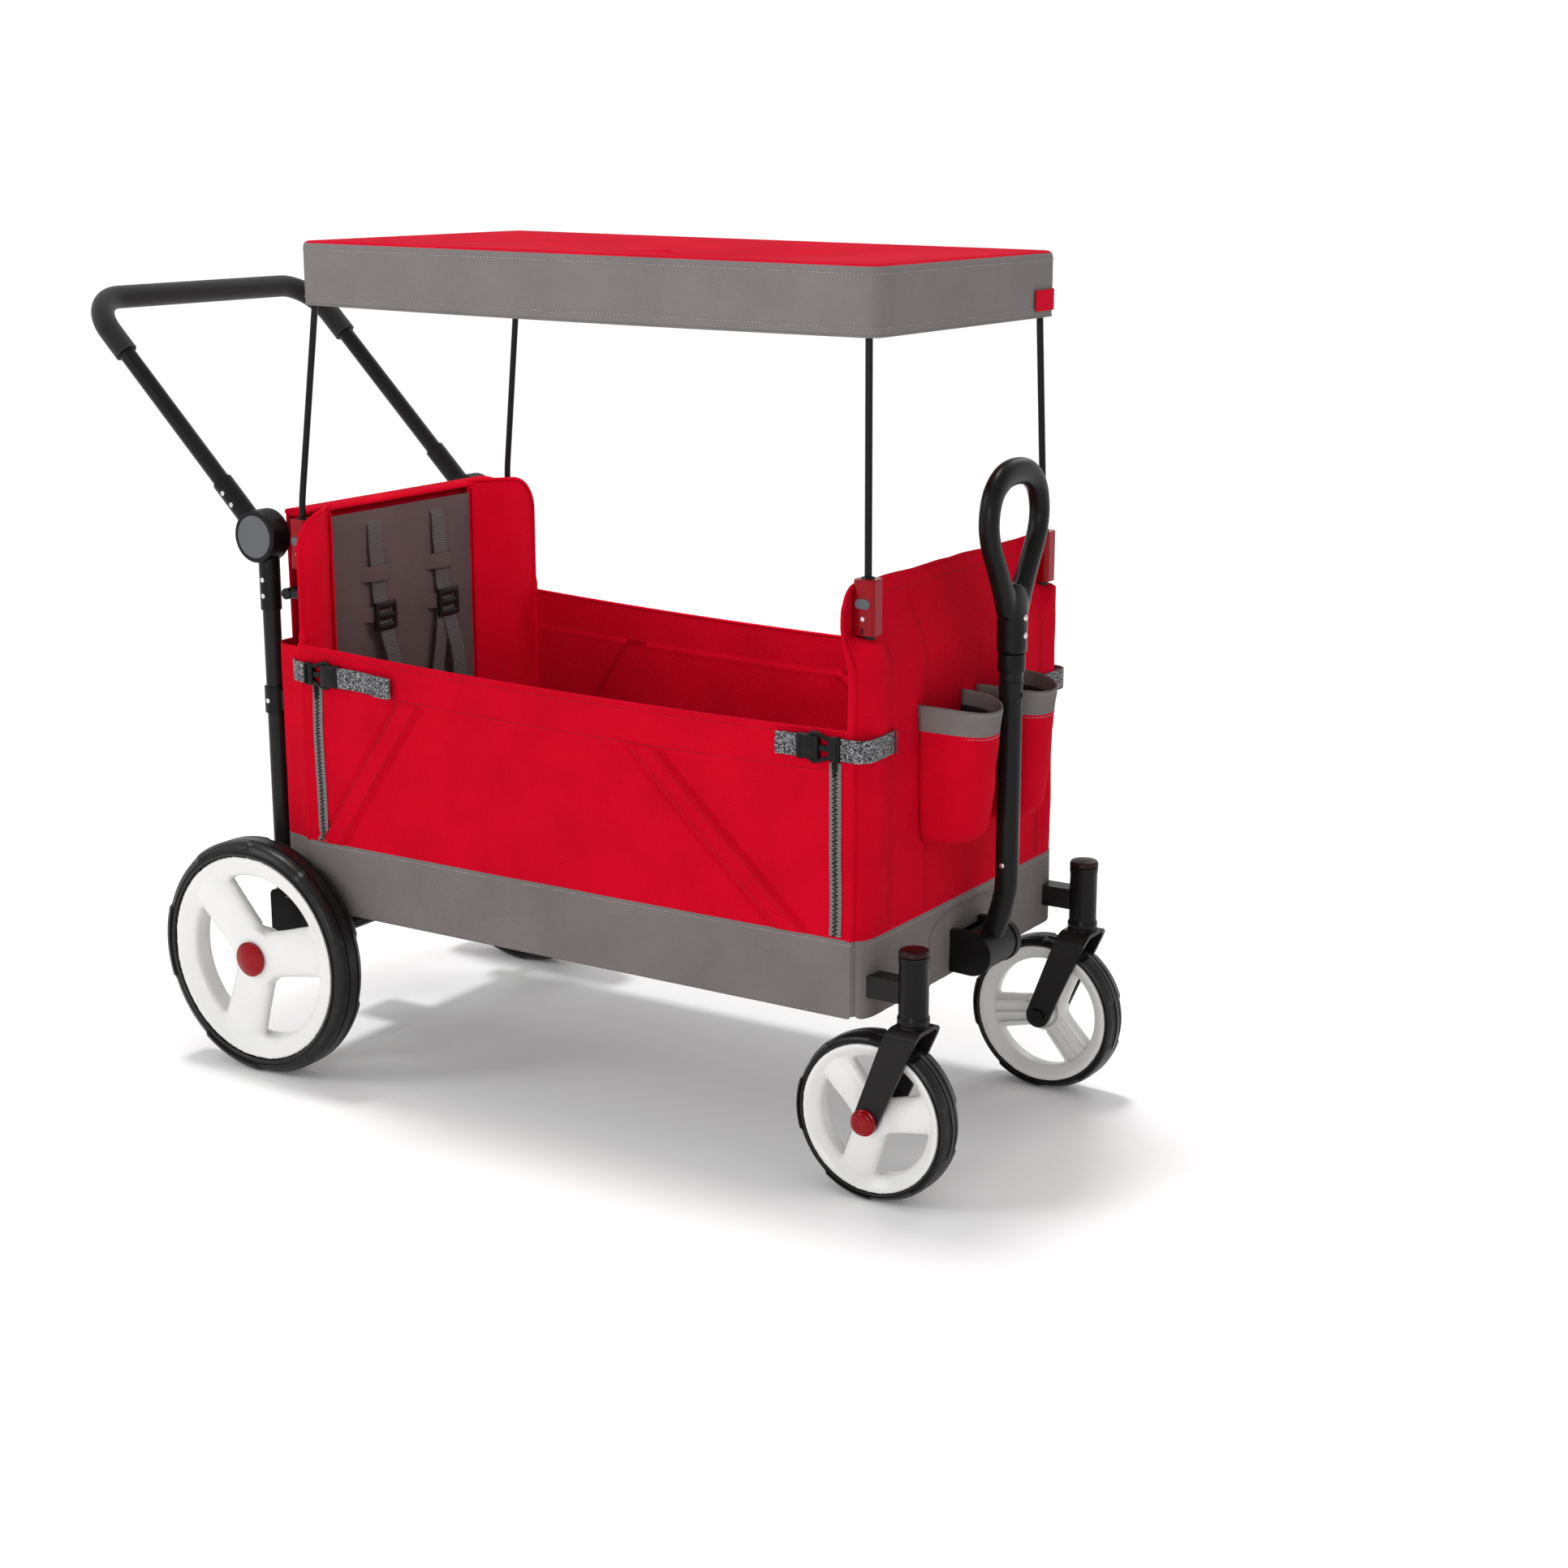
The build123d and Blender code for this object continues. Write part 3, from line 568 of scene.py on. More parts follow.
WHITE_PLASTIC = moulded("white_plastic", (0.72, 0.72, 0.705), 0.18, 0.28, 0.05, specular=0.4)
RED_PLASTIC = moulded("red_gloss_plastic", (0.25, 0.001, 0.005), 0.12, 0.2, 0.05, specular=0.16)
CAP_RED = moulded("red_cap_plastic", (0.24, 0.001, 0.005), 0.1, 0.18, 0.05, specular=0.18)
STEM_CAP = moulded("stem_cap_plastic", (0.02, 0.007, 0.007), 0.3, 0.4, 0.15)
GRAY_PLASTIC = moulded("gray_plastic", (0.105, 0.11, 0.12), 0.34, 0.46, 0.15)
TYRE = rubber("tyre_rubber", (0.006, 0.006, 0.006), 0.34)
FOAM = foam("handle_foam", (0.008, 0.0075, 0.0075))
STEEL = plated_steel("plated_steel")

CAD_MATERIALS = {
    BLACK_PAINT: [
        "rear_axle", "rear_posts", "rear_end_frame", "handle_tube", "floor_frame_rear",
        "floor_frame_front", "front_end_frame", "castor_fork_left", "castor_fork_right",
        "canopy_bow_rear", "canopy_bow_front", "pull_tube_outer", "pull_tube_inner",
    ],
    BLACK_PLASTIC: [
        "axle_brackets", "post_clamps", "pivot_sockets_lower", "pivot_sockets_upper",
        "pull_yoke", "pull_knuckle", "brake_pedal",
    ],
    STEEL: ["rear_pins_and_screws", "front_hinge_pins", "knee_hinge_rod", "handle_screws"],
    GRAY_PLASTIC: [
        "pivot_button_left", "pivot_button_right",
        "socket_button_rear_left", "socket_button_rear_right",
        "socket_button_front_left", "socket_button_front_right",
    ],
    RED_PLASTIC: ["canopy_sockets_rear", "canopy_sockets_front"],
    CAP_RED: ["rear_hub_cap_left", "rear_hub_cap_right"],
    FOAM: ["handle_foam"],
    FLOOR_CLOTH: ["floor_board_rear", "floor_board_front"],
}


def dress_cad_parts():
    for material, names in CAD_MATERIALS.items():
        for name in names:
            NODES[name].data.materials.clear()
            NODES[name].data.materials.append(material)


# ---------------------------------------------------------------- wheels


def tyre_shape(wheel, side):
    """Tyre with a grooved tread and long raised bars round each shoulder."""
    x, y, z, radius, rim_radius, half, _, _ = wheel
    height = radius - rim_radius
    outer_half = [
        (rim_radius - 5, half - 7),
        (rim_radius - 0.4, half - 5),
        (rim_radius + 0.3, half - 1.0),
        (rim_radius + 1.6, half + 0.1),
        (rim_radius + height * 0.22, half),
        (rim_radius + height * 0.25, half - 1.6),
        (rim_radius + height * 0.31, half - 1.6),
        (rim_radius + height * 0.34, half - 0.4),
        (rim_radius + height * 0.47, half - 1.0),
        (rim_radius + height * 0.50, half + 0.6),
        (rim_radius + height * 0.74, half - 0.8),
        (rim_radius + height * 0.84, half - 2.6),
        (radius - 1.6, half - 5.2),
        (radius - 0.5, half - 8),
        (radius, half - 10.8),
        (radius, half - 13.2),
        (radius - 1.8, half - 13.6),
        (radius - 1.8, half - 15.4),
        (radius, half - 15.8),
        (radius, 1.2),
    ]
    profile = outer_half + [(r, -a) for r, a in reversed(outer_half)]
    bars = 5
    shoulder = rim_radius + height * 0.48

    def cut_between_bars(angle, r, a):
        """Bars are the full shoulder; between them it is cut lower."""
        turn = abs((angle * bars / math.tau) % 1 - 0.5)
        cut = ease(0.26, 0.272, turn)
        if r < shoulder or abs(a) < half - 12:
            return r, a
        return r - 1.2 * cut * ease(shoulder, radius - 3, r), a - math.copysign(2.0 * cut, a)

    return turned(profile, (x, side * y, z), ACROSS, 280, cut_between_bars)


def rim_mesh(wheel, name):
    """White wheel body about the origin with its outer side facing +Y."""
    _, _, _, _, radius, half, hub, spoke = wheel
    inner = radius * BAND_SHARE
    band = [
        (inner, 1), (inner + 0.6, half - 12), (inner + 3, half - 9), (radius - 7, half - 2.6),
        (radius - 3, half - 0.6), (radius, half - 1.2), (radius, half - 4), (radius - 5.5, half - 6),
        (radius - 5.5, 6 - half), (radius, 4 - half), (radius, 1.4 - half),
        (radius - 3, 0.6 - half), (radius - 7, 1.6 - half), (inner + 3, 7 - half), (inner, 10 - half),
    ]
    shapes = [turned(band, (0, 0, 0), ACROSS, 120)]
    for degrees in SPOKE_ANGLES:
        angle = math.radians(degrees)
        out = Vector((math.cos(angle), 0, math.sin(angle)))
        over = out.cross(ACROSS)
        rings = []
        for step in range(21):
            share = step / 20
            tip = max(0.0, (share - 0.78) / 0.22)
            width = spoke * (1.0 + 0.08 * ease(0.35, 0.8, share)) * math.sqrt(1 - 0.94 * tip**2)
            front = half - 2.6 - 1.4 * math.sin(math.pi * share) - 4.5 * tip**2
            back = -half * 0.3
            middle = (front + back) / 2
            centre = out * (share * radius * 0.91) + ACROSS * middle
            rings.append(oval(centre, over, ACROSS, width, front - middle, 0.85, 24))
        shapes.append(loft(rings))
    hub_profile = [(2, -half + 3), (hub * 0.62, -half + 3), (hub * 0.66, -half * 0.3)]
    hub_profile += [(hub, -half * 0.3), (hub, half - 6), (hub * 0.7, half - 2.5), (2, half - 2.2)]
    shapes.append(turned(hub_profile, (0, 0, 0), ACROSS, 64))
    return fuse(name, merge(*shapes), WHITE_PLASTIC, radius / 54, 7)


def rim_ribs(wheel, name):
    """Thin ribs behind each spoke and a ring round the hub, about the origin."""
    _, _, _, _, radius, half, hub, spoke = wheel
    inner = radius * BAND_SHARE
    back = ACROSS * (-half * 0.32)
    shapes = []
    for degrees in SPOKE_ANGLES:
        angle = math.radians(degrees)
        out = Vector((math.cos(angle), 0, math.sin(angle)))
        over = out.cross(ACROSS)
        for offset, tall in ((-0.62, 7), (0, 9), (0.62, 7)):
            path = []
            for share in (0.0, 0.5, 1.0):
                reach = hub * 0.9 + share * (inner - hub * 0.9 + 3)
                flare = 1 + 0.12 * share**2
                path.append(out * reach + over * (offset * spoke * flare) + back)
            shapes.append(strap(path, ACROSS, tall, 3.0 if offset else 2.0, 0.5, 12))
    ring = [(hub * 0.8, -2), (hub * 0.8, 5), (hub * 0.9, 5), (hub * 0.9, -2)]
    shapes.append(turned(ring, back, -ACROSS, 64))
    return mesh_at_origin(name, merge(*shapes))


def wheels():
    for end, wheel in (("rear", REAR_WHEEL), ("front", FRONT_WHEEL)):
        rim_form = rim_mesh(wheel, f"{end}_rim_form")
        rib_form = rim_ribs(wheel, f"{end}_rib_form")
        x, y, z = wheel[:3]
        for name, side in SIDES.items():
            body = f"{end}_wheel_{name}"
            turn = WHEEL_TURNS.get(f"{end}_{name}", 0)
            tyre = make_piece(f"{end}_{name}_tyre", tyre_shape(wheel, side), TYRE, body, sharp=30)
            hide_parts(f"{end}_tyre_{name}")
            centre = (x, side * y, z)
            rim = place_copy(f"{end}_{name}_rim", rim_form, WHITE_PLASTIC, centre, side, body, turn)
            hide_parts(f"{end}_rim_{name}")
            ribs = place_copy(f"{end}_{name}_ribs", rib_form, WHITE_PLASTIC, centre, side, body, turn)
            ribs.data.set_sharp_from_angle(angle=math.radians(40))
        bpy.data.meshes.remove(rim_form)
        bpy.data.meshes.remove(rib_form)


def castors():
    """Stems with a band at each end, and axle bolts with a ringed cap and a nut."""
    stem = [
        (8.4, 211.8), (17.4, 211.8), (18.0, 213), (18.0, 219.5), (16.8, 221), (16.6, 224),
        (16.6, 281), (17.2, 283), (17.2, 288.4), (16.0, 289.2), (8.4, 289.2),
    ]
    cap = [(0.2, 289), (16.2, 289.2), (17.3, 290.2), (17.3, 293.2), (15.6, 295.8), (9, 297.6), (0.2, 298)]
    bolt_cap = [
        (0.2, 27.6), (15, 27.8), (15.4, 29), (15.4, 31.2), (13.6, 32.2), (13.2, 33.4), (13.2, 35.4),
        (10.6, 36.6), (10, 37.8), (7, 39), (4.4, 38.8), (3.6, 38.2), (0.2, 38.2),
    ]
    nut = [(0.2, -28), (8, -28), (10, -28.6), (10, -31.6), (8.6, -33.2), (4.2, -33.6), (0.2, -33.6)]
    for name, side in SIDES.items():
        centre = (CASTOR[0], side * CASTOR[1], 0)
        stem_piece = make_piece(f"castor_stem_{name}", turned(stem, centre), BLACK_PAINT, "front_frame")
        cap_piece = make_piece(f"castor_stem_cap_{name}", turned(cap, centre), STEM_CAP, "front_frame")
        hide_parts("castor_housings")
        axle = (FRONT_WHEEL[0], side * FRONT_WHEEL[1], FRONT_WHEEL[2])
        out = ACROSS * side
        body = f"castor_{name}"
        bolt = make_piece(f"castor_bolt_cap_{name}", turned(bolt_cap, axle, out, 48), CAP_RED, body)
        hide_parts(f"castor_axle_{name}")
        shank = rod([Vector(axle) - out * 31, Vector(axle), Vector(axle) + out * 30], 3.9)
        dark = merge(turned(nut, axle, out, 6), shank)
        make_piece(f"castor_nut_{name}", dark, BLACK_PLASTIC, body, sharp=25)


# ---------------------------------------------------------------- side walls


def side_top(x):
    share = (x - REAR_EDGE_X) / (FRONT_EDGE_X - REAR_EDGE_X)
    return 545 - 42.5 * share + 29 * share**2


def round_off(gap):
    """How far a rounded corner has risen at that distance from its end."""
    inside = max(0.0, CORNER_ROUND - max(0.0, gap))
    return CORNER_ROUND - math.sqrt(CORNER_ROUND**2 - inside**2)


def side_bottom(x):
    """Lower edge with rounded corners."""
    gap = min(x - REAR_EDGE_X, FRONT_EDGE_X - x)
    return TUB_BOTTOM + round_off(gap)


def from_line(x, z, low, high):
    """Distance from the line between two (x, z) points."""
    dx, dz = high[0] - low[0], high[1] - low[1]
    return ((x - low[0]) * dz - (z - low[1]) * dx) / math.hypot(dx, dz)


SLEEVES = (((92.0, BAND_TOP), (262.0, 545.0)), ((762.0, BAND_TOP), (510.0, 532.0)))
SLEEVE_HALF = 15.0


def side_y(x, z):
    """Outer face of a side wall, with its bulge, hem, sewn sleeves and soft creases."""
    share = (x - REAR_EDGE_X) / (FRONT_EDGE_X - REAR_EDGE_X)
    height = (z - TUB_BOTTOM) / (side_top(x) - TUB_BOTTOM)
    bulge = math.sin(math.pi * min(1, max(0, share))) ** 0.7 * math.sin(math.pi * min(1, max(0, height)))
    depth = SIDE_Y + 3.0 * bulge
    depth += bulge * waves(x, 0, z, 95, 2.4)
    depth += waves(x + 300, 40, z * 1.3, 38, 0.55) * (0.3 + 0.7 * bulge)
    depth += 0.9 * (1 - ease(BAND_TOP - 1.2, BAND_TOP + 0.6, z))
    hem = side_top(x) - z
    depth += 1.0 * (1 - ease(HEM - 1.2, HEM + 0.8, hem))
    depth -= 0.9 * math.exp(-(((hem - HEM - 2) / 2.0) ** 2))
    if z > BAND_TOP and hem > HEM - 1:
        for low, high in SLEEVES:
            away = abs(from_line(x, z, low, high))
            depth += 3.6 * (1 - ease(SLEEVE_HALF - 4.5, SLEEVE_HALF + 0.5, away))
            depth -= 2.4 * math.exp(-(((away - SLEEVE_HALF - 2) / 2.2) ** 2))
    return depth


def side_wall(name, side):
    columns, rows, band_rows = 320, 110, 33

    def place(u, v):
        x = REAR_EDGE_X + u * (FRONT_EDGE_X - REAR_EDGE_X)
        z = split(v, band_rows / rows, side_bottom(x), BAND_TOP, side_top(x))
        return (x, side_y(x, z) - CLOTH / 2, z)

    shape = mirror(grid(columns, rows, place), side)
    wall = make_piece(f"side_cloth_{name}", shape, RED, "rear_frame", closed=False, sharp=None)
    second_color(wall, GRAY, 0, band_rows * columns)
    thicken(wall, CLOTH)
    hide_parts(f"side_wall_{name}")
    hem_path = []
    for step in range(161):
        x = REAR_EDGE_X + step / 160 * (FRONT_EDGE_X - REAR_EDGE_X)
        z = side_top(x)
        hem_path.append(Vector((x, side * (side_y(x, z) - 1.4), z)))
    roll = make_piece(f"side_hem_{name}", rod(hem_path, 2.1), RED, "rear_frame")
    threads = side_threads(name, side)
    shortens(wall)
    shortens(roll)


def side_threads(name, side):
    """Rows of stitching on a side wall: band seam, hem, and both edges of each sleeve."""
    out = ACROSS * side

    def on_wall(x, z):
        return Vector((x, side * (side_y(x, z) + 0.1), z))

    xs = [REAR_EDGE_X + 8 + step * 5 for step in range(157)]
    band = [on_wall(x, BAND_TOP - 4) for x in xs]
    rows = [[on_wall(x, side_top(x) - HEM + 4) for x in xs], [on_wall(x, side_top(x) - 6) for x in xs]]
    for low, high in SLEEVES:
        for offset in (-SLEEVE_HALF + 3.5, SLEEVE_HALF - 3.5):
            path = []
            for step in range(41):
                share = 0.01 + 0.79 * step / 40
                x = low[0] + (high[0] - low[0]) * share + offset * 1.22
                path.append(on_wall(x, low[1] + (high[1] - low[1]) * share))
            rows.append(path)
    red_shape = merge(*[stitches(row, out) for row in rows])
    # The thread colour here carries painted shade along the sleeve edges and hem.
    red = make_piece(f"side_stitching_{name}", red_shape, RED_THREAD_AND_SEAM_SHADE, "rear_frame")
    gray = make_piece(f"band_stitching_{name}", stitches(band, out), GRAY_THREAD, "rear_frame")
    shortens(red)
    shortens(gray)
    return [red, gray]


def zips(name, side):
    """Gray tape with dark teeth and a slider at each end of a side wall."""
    for place, x in zip(("rear", "front"), ZIP_X):
        path = []
        for step in range(31):
            z = ZIP_LOW + (ZIP_HIGH - ZIP_LOW) * step / 30
            path.append(Vector((x + waves(0, x, z, 60, 1.6), side * (side_y(x, z) + 0.9), z)))
        tape = make_piece(f"zip_tape_{place}_{name}", strap(path, ALONG, 15, 1.4), ZIP_TAPE, "rear_frame")
        teeth = []
        for index, (point, direction) in enumerate(walk(path, 2.4)):
            offset = 1.1 if index % 2 else -1.1
            centre = point + ACROSS * (side * 1.1) + ALONG * offset
            ends = [centre - ALONG * 2.1, centre, centre + ALONG * 2.1]
            teeth.append(strap(ends, UP, 1.5, 1.5, 0.6, 8))
        top = path[-1] + ACROSS * (side * 2.2)
        slider = strap([top + UP * 3, top - UP * 2, top - UP * 7], ALONG, 6.4, 3.0, 0.6)
        pull_path = curve_through([top + ACROSS * side * 1.5, top - UP * 8, top - UP * 15], 5)
        pull = strap([p + ACROSS * side * 1.2 for p in pull_path], ALONG, 3.6, 1.2, 0.6)
        shape = merge(slider, pull, *teeth)
        teeth_piece = make_piece(f"zip_teeth_{place}_{name}", shape, BLACK_PLASTIC, "rear_frame")
        shortens(tape)
        shortens(teeth_piece)


# ---------------------------------------------------------------- buckles and straps


def buckle_shape(x, side, z, facing):
    """Side-release buckle: housing with waisted sides, two arms, a tongue and strap bars."""
    y = side * (SIDE_Y + 6.6)

    def at(along, up=0.0, out=0.0):
        return Vector((x + facing * along, y + side * out, z + up))

    housing = []
    for along, tall, thick in (
        (0, 12.4, 3.4), (2, 14.0, 4.6), (8, 13.2, 5.0), (16, 13.4, 5.0), (24, 14.4, 4.8), (27, 13.6, 3.6),
    ):
        housing.append(oval(at(along), UP, ACROSS, tall, thick, 0.45, 20))
    plate = []
    for along, tall, thick in ((-27, 12.6, 2.6), (-25, 14, 3.6), (-18, 14, 3.6), (-13, 12.4, 3.2)):
        plate.append(oval(at(along), UP, ACROSS, tall, thick, 0.45, 20))
    shapes = [loft(housing), loft(plate)]
    for way in (-1, 1):
        arm = [at(-16, way * 9), at(-8, way * 11.2), at(0, way * 14.2), at(7, way * 15.4), at(13, way * 12)]
        shapes.append(rod(curve_through(arm, 5), 2.5, ACROSS, 10))
    shapes.append(strap([at(-15), at(-6), at(4)], UP, 7, 3.4, 0.5))
    shapes.append(strap([at(6, 0, 4.4), at(13, 0, 5.4), at(20, 0, 4.4)], UP, 9, 1.6, 0.7))
    for along in (-23, 22):
        shapes.append(rod([at(along, -12, 3.8), at(along, 0, 4.1), at(along, 12, 3.8)], 1.8, ALONG, 10))
    return merge(*shapes)


def corner_straps(name, side):
    out = side * (SIDE_Y + 3.2)
    height = 513.0
    for end, x, body in (("rear", 92.0, "rear_frame"), ("front", 800.0, "front_frame")):
        facing = 1 if end == "rear" else -1
        shape = buckle_shape(x, side, height, facing)
        buckle = make_piece(f"buckle_{end}_{name}", shape, BLACK_PLASTIC, body)
        if name == "left":
            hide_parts(f"buckles_{end}")
    rear_anchor = curve_through(
        [(24, side * 214, height), (38, side * 229, height), (50, out, height),
         (62, out + side * 2.5, height), (72, out + side * 3.4, height)], 6,
    )
    rear_tail = curve_through(
        [(108, out + side * 3.6, height), (122, out + side * 5.0, height - 0.5),
         (146, out + side * 2.2, height - 1.5), (172, out + side * 4.6, height - 3),
         (197, out + side * 3.0, height - 5)], 7,
    )
    fold = curve_through(
        [(197, out + side * 3.0, height - 5), (200.5, out + side * 5.2, height - 5),
         (194, out + side * 7.0, height - 4.8), (178, out + side * 6.8, height - 4)], 6,
    )
    rear_shapes = [strap(path, UP, 25, 1.8, 0.3) for path in (rear_anchor, rear_tail, fold)]
    rear = make_piece(f"webbing_rear_{name}", merge(*rear_shapes), TWEED, "rear_frame")
    front_tail = curve_through(
        [(782, out + side * 3.4, height), (770, out + side * 4.4, height),
         (756, out + side * 1.8, height - 0.5), (744, out + side * 2.6, height - 1)], 6,
    )
    front_anchor = curve_through(
        [(818, out + side * 3.4, height), (830, out + side * 2.4, height), (843, out + side * 2.8, height),
         (853, side * 234, height), (857.4, side * 226, height), (857.2, side * 205, height),
         (855.4, side * 180, height), (854, side * 170, height)], 6,
    )
    front_shapes = [strap(path, UP, 25, 1.8, 0.3) for path in (front_tail, front_anchor)]
    front = make_piece(f"webbing_front_{name}", merge(*front_shapes), TWEED, "front_frame")
    tack = strap(
        [Vector((856.6, side * 172, height - 13)), Vector((857, side * 172, height)),
         Vector((856.6, side * 172, height + 13))], ACROSS, 5, 2.4, 0.6,
    )
    make_piece(f"bartack_front_{name}", tack, RED_THREAD_AND_SEAM_SHADE, "front_frame")


# ---------------------------------------------------------------- front end


def front_x(y, z):
    """Front face of the front cloth: full over the uprights, stepped back above them."""
    outside = abs(y) - FRONT_TUBE_Y
    if outside > 0:
        over_tube = 1.0
        drop = CORNER_DROP * (1 - math.sqrt(max(0.0, 1 - (outside / 26) ** 2)))
        beyond = ease(12, 26, outside)
        start, end = 626 - 36 * beyond, 633 + 9 * beyond
    else:
        over_tube = math.exp(-((outside / 15) ** 2))
        drop = 0.0
        start, end = 586 + 40 * over_tube, 676 - 43 * over_tube
    step = ease(start, end, z)
    x = FRONT_X - drop - (STEP_BACK - drop) * step
    bulge = over_tube * (1 - ease(0, 18, outside))
    x += 3.0 * bulge * ease(300, 340, z) * (1 - step)
    x += waves(y, 7, z, 80, 1.5) * ease(305, 400, z)
    x += waves(y * 1.6, 90, z, 30, 0.5)
    x += 0.9 * (1 - ease(BAND_TOP - 1.2, BAND_TOP + 0.6, z))
    x += 0.8 * ease(FRONT_TOP - 20, FRONT_TOP - 18, z)
    for seam in (96.0, 176.0):
        x -= 1.2 * math.exp(-(((abs(y) - seam) / 2.4) ** 2)) * ease(BAND_TOP, BAND_TOP + 6, z)
    return x


def front_high(y):
    corner, radius = FRONT_HALF_WIDTH, 24.0
    gap = corner - abs(y)
    top = FRONT_TOP + waves(y, 3, 0, 60, 1.6)
    if gap < radius:
        top -= radius - math.sqrt(max(0, radius**2 - (radius - gap) ** 2))
    return top


def front_low(y):
    return TUB_BOTTOM + round_off(FRONT_HALF_WIDTH - abs(y))


def front_cloth():
    columns, rows, band_rows = 190, 170, 34

    def place(u, v):
        share = math.sin((u - 0.5) * math.pi) * 0.35 + (2 * u - 1) * 0.65
        y = FRONT_HALF_WIDTH * share
        z = split(v, band_rows / rows, front_low(y), BAND_TOP, front_high(y))
        return (front_x(y, z) - CLOTH / 2, y, z)

    shape = grid(columns, rows, place)
    cloth = make_piece("front_cloth", shape, RED, "front_frame", closed=False, sharp=None)
    second_color(cloth, GRAY, 0, band_rows * columns)
    thicken(cloth, CLOTH)
    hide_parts("front_panel")
    edge = []
    for step in range(41):
        edge.append((FRONT_HALF_WIDTH + 1.5, BAND_TOP + (FRONT_TOP - 26 - BAND_TOP) * step / 40))
    for step in range(1, 13):
        angle = math.radians(90 * step / 12)
        edge.append((FRONT_HALF_WIDTH - 24 + 24 * math.cos(angle), FRONT_TOP - 24 + 24 * math.sin(angle)))
    for step in range(1, 21):
        y = (FRONT_HALF_WIDTH - 24) * (1 - step / 20)
        edge.append((y, front_high(y)))
    outline = edge + [(-y, z) for y, z in reversed(edge[:-1])]
    path, radii = [], []
    for y, z in outline:
        thick = 2.2 + 2.8 * ease(FRONT_HALF_WIDTH - 12, FRONT_HALF_WIDTH, abs(y)) * (1 - ease(590, 640, z))
        path.append(Vector((front_x(y, z) - thick * 0.4, y, z)))
        radii.append(thick + waves(y, 0, z, 5, 0.3))
    roll = make_piece("front_piping", rod(path, radii, ALONG, 12), RED, "front_frame")
    seams = []
    for side in (1, -1):
        corner = []
        for step in range(13):
            y = side * (FRONT_HALF_WIDTH + 0.8)
            z = TUB_BOTTOM + 3 + (BAND_TOP - TUB_BOTTOM - 3) * step / 12
            corner.append(Vector((front_x(FRONT_HALF_WIDTH, z) - 1.6, y, z)))
        seams.append(rod(corner, 2.7, ALONG, 12))
    seam = make_piece("front_band_corners", merge(*seams), GRAY, "front_frame")

    def lining_place(u, v):
        y = 195 * (2 * u - 1)
        z = 218 + v * (FRONT_TOP - 12 - 218)
        near_tube = math.exp(-(((abs(y) - FRONT_TUBE_Y) / 14) ** 2))
        x = 827.6 - 8 * ease(590, 610, z) + 3 * ease(640, 676, z) - 1.5 * near_tube
        return (x, y, z)

    lining_shape = grid(60, 80, lining_place)
    lining = make_piece("front_lining", lining_shape, RED, "front_frame", closed=False, sharp=None)
    thicken(lining, 1.6)
    threads = front_threads()


def front_threads():
    def on_cloth(y, z):
        return Vector((front_x(y, z) + 0.1, y, z))

    ys = [-220 + step * 5 for step in range(89)]
    rows = [[on_cloth(y, FRONT_TOP - 16) for y in ys[3:-3]]]
    for seam in (96.0, 176.0):
        for side in (-1, 1):
            for offset in (-4, 4):
                column = [on_cloth(side * seam + offset, 306 + step * 5) for step in range(69)]
                rows.append(column)
    red_shape = merge(*[stitches(row, ALONG) for row in rows])
    red = make_piece("front_stitching", red_shape, RED_THREAD_AND_SEAM_SHADE, "front_frame")
    flap = [(-86, 211 + step * 5) for step in range(11)]
    for step in range(25):
        angle = math.pi * (1 - step / 24)
        flap.append((58 * math.cos(angle) + math.copysign(28, math.cos(angle)), 262 + 26 * math.sin(angle)))
    flap += [(86, 261 - step * 5) for step in range(11)]
    flap_path = [on_cloth(y, z) for y, z in flap]
    binding = make_piece("front_flap_binding", rod(flap_path, 1.7, ALONG, 8), GRAY, "front_frame")
    band = [on_cloth(y, BAND_TOP - 4) for y in ys]
    gray = make_piece("front_band_stitching", stitches(band, ALONG), GRAY_THREAD, "front_frame")
    return [red, gray, binding]


POCKET_LOW, POCKET_TOP = 387.0, 539.0


def pocket_point(angle, level, inset=0.0):
    """Point on a pocket: angle across from -90 to 90 degrees, level from 0 to 1 up its height."""
    taper = 0.86 + 0.14 * level**0.6
    flare = 1.0 + 0.02 * ease(0.86, 1.0, level)
    across = (49.0 - inset) * taper * flare
    out = (69.0 - inset) * (0.78 + 0.22 * level**0.7) * flare
    y = across * math.copysign(abs(math.sin(angle)) ** 0.9, math.sin(angle))
    x = out * max(0.0, math.cos(angle)) ** 0.85
    z = POCKET_LOW + (POCKET_TOP - POCKET_LOW) * level - 4.0 * math.cos(2 * angle) * level
    sway = waves(angle * 30, 20, z, 26, 1.3)
    return (FRONT_X + 0.6 + x + sway * math.cos(angle), y + sway * math.sin(angle), z)


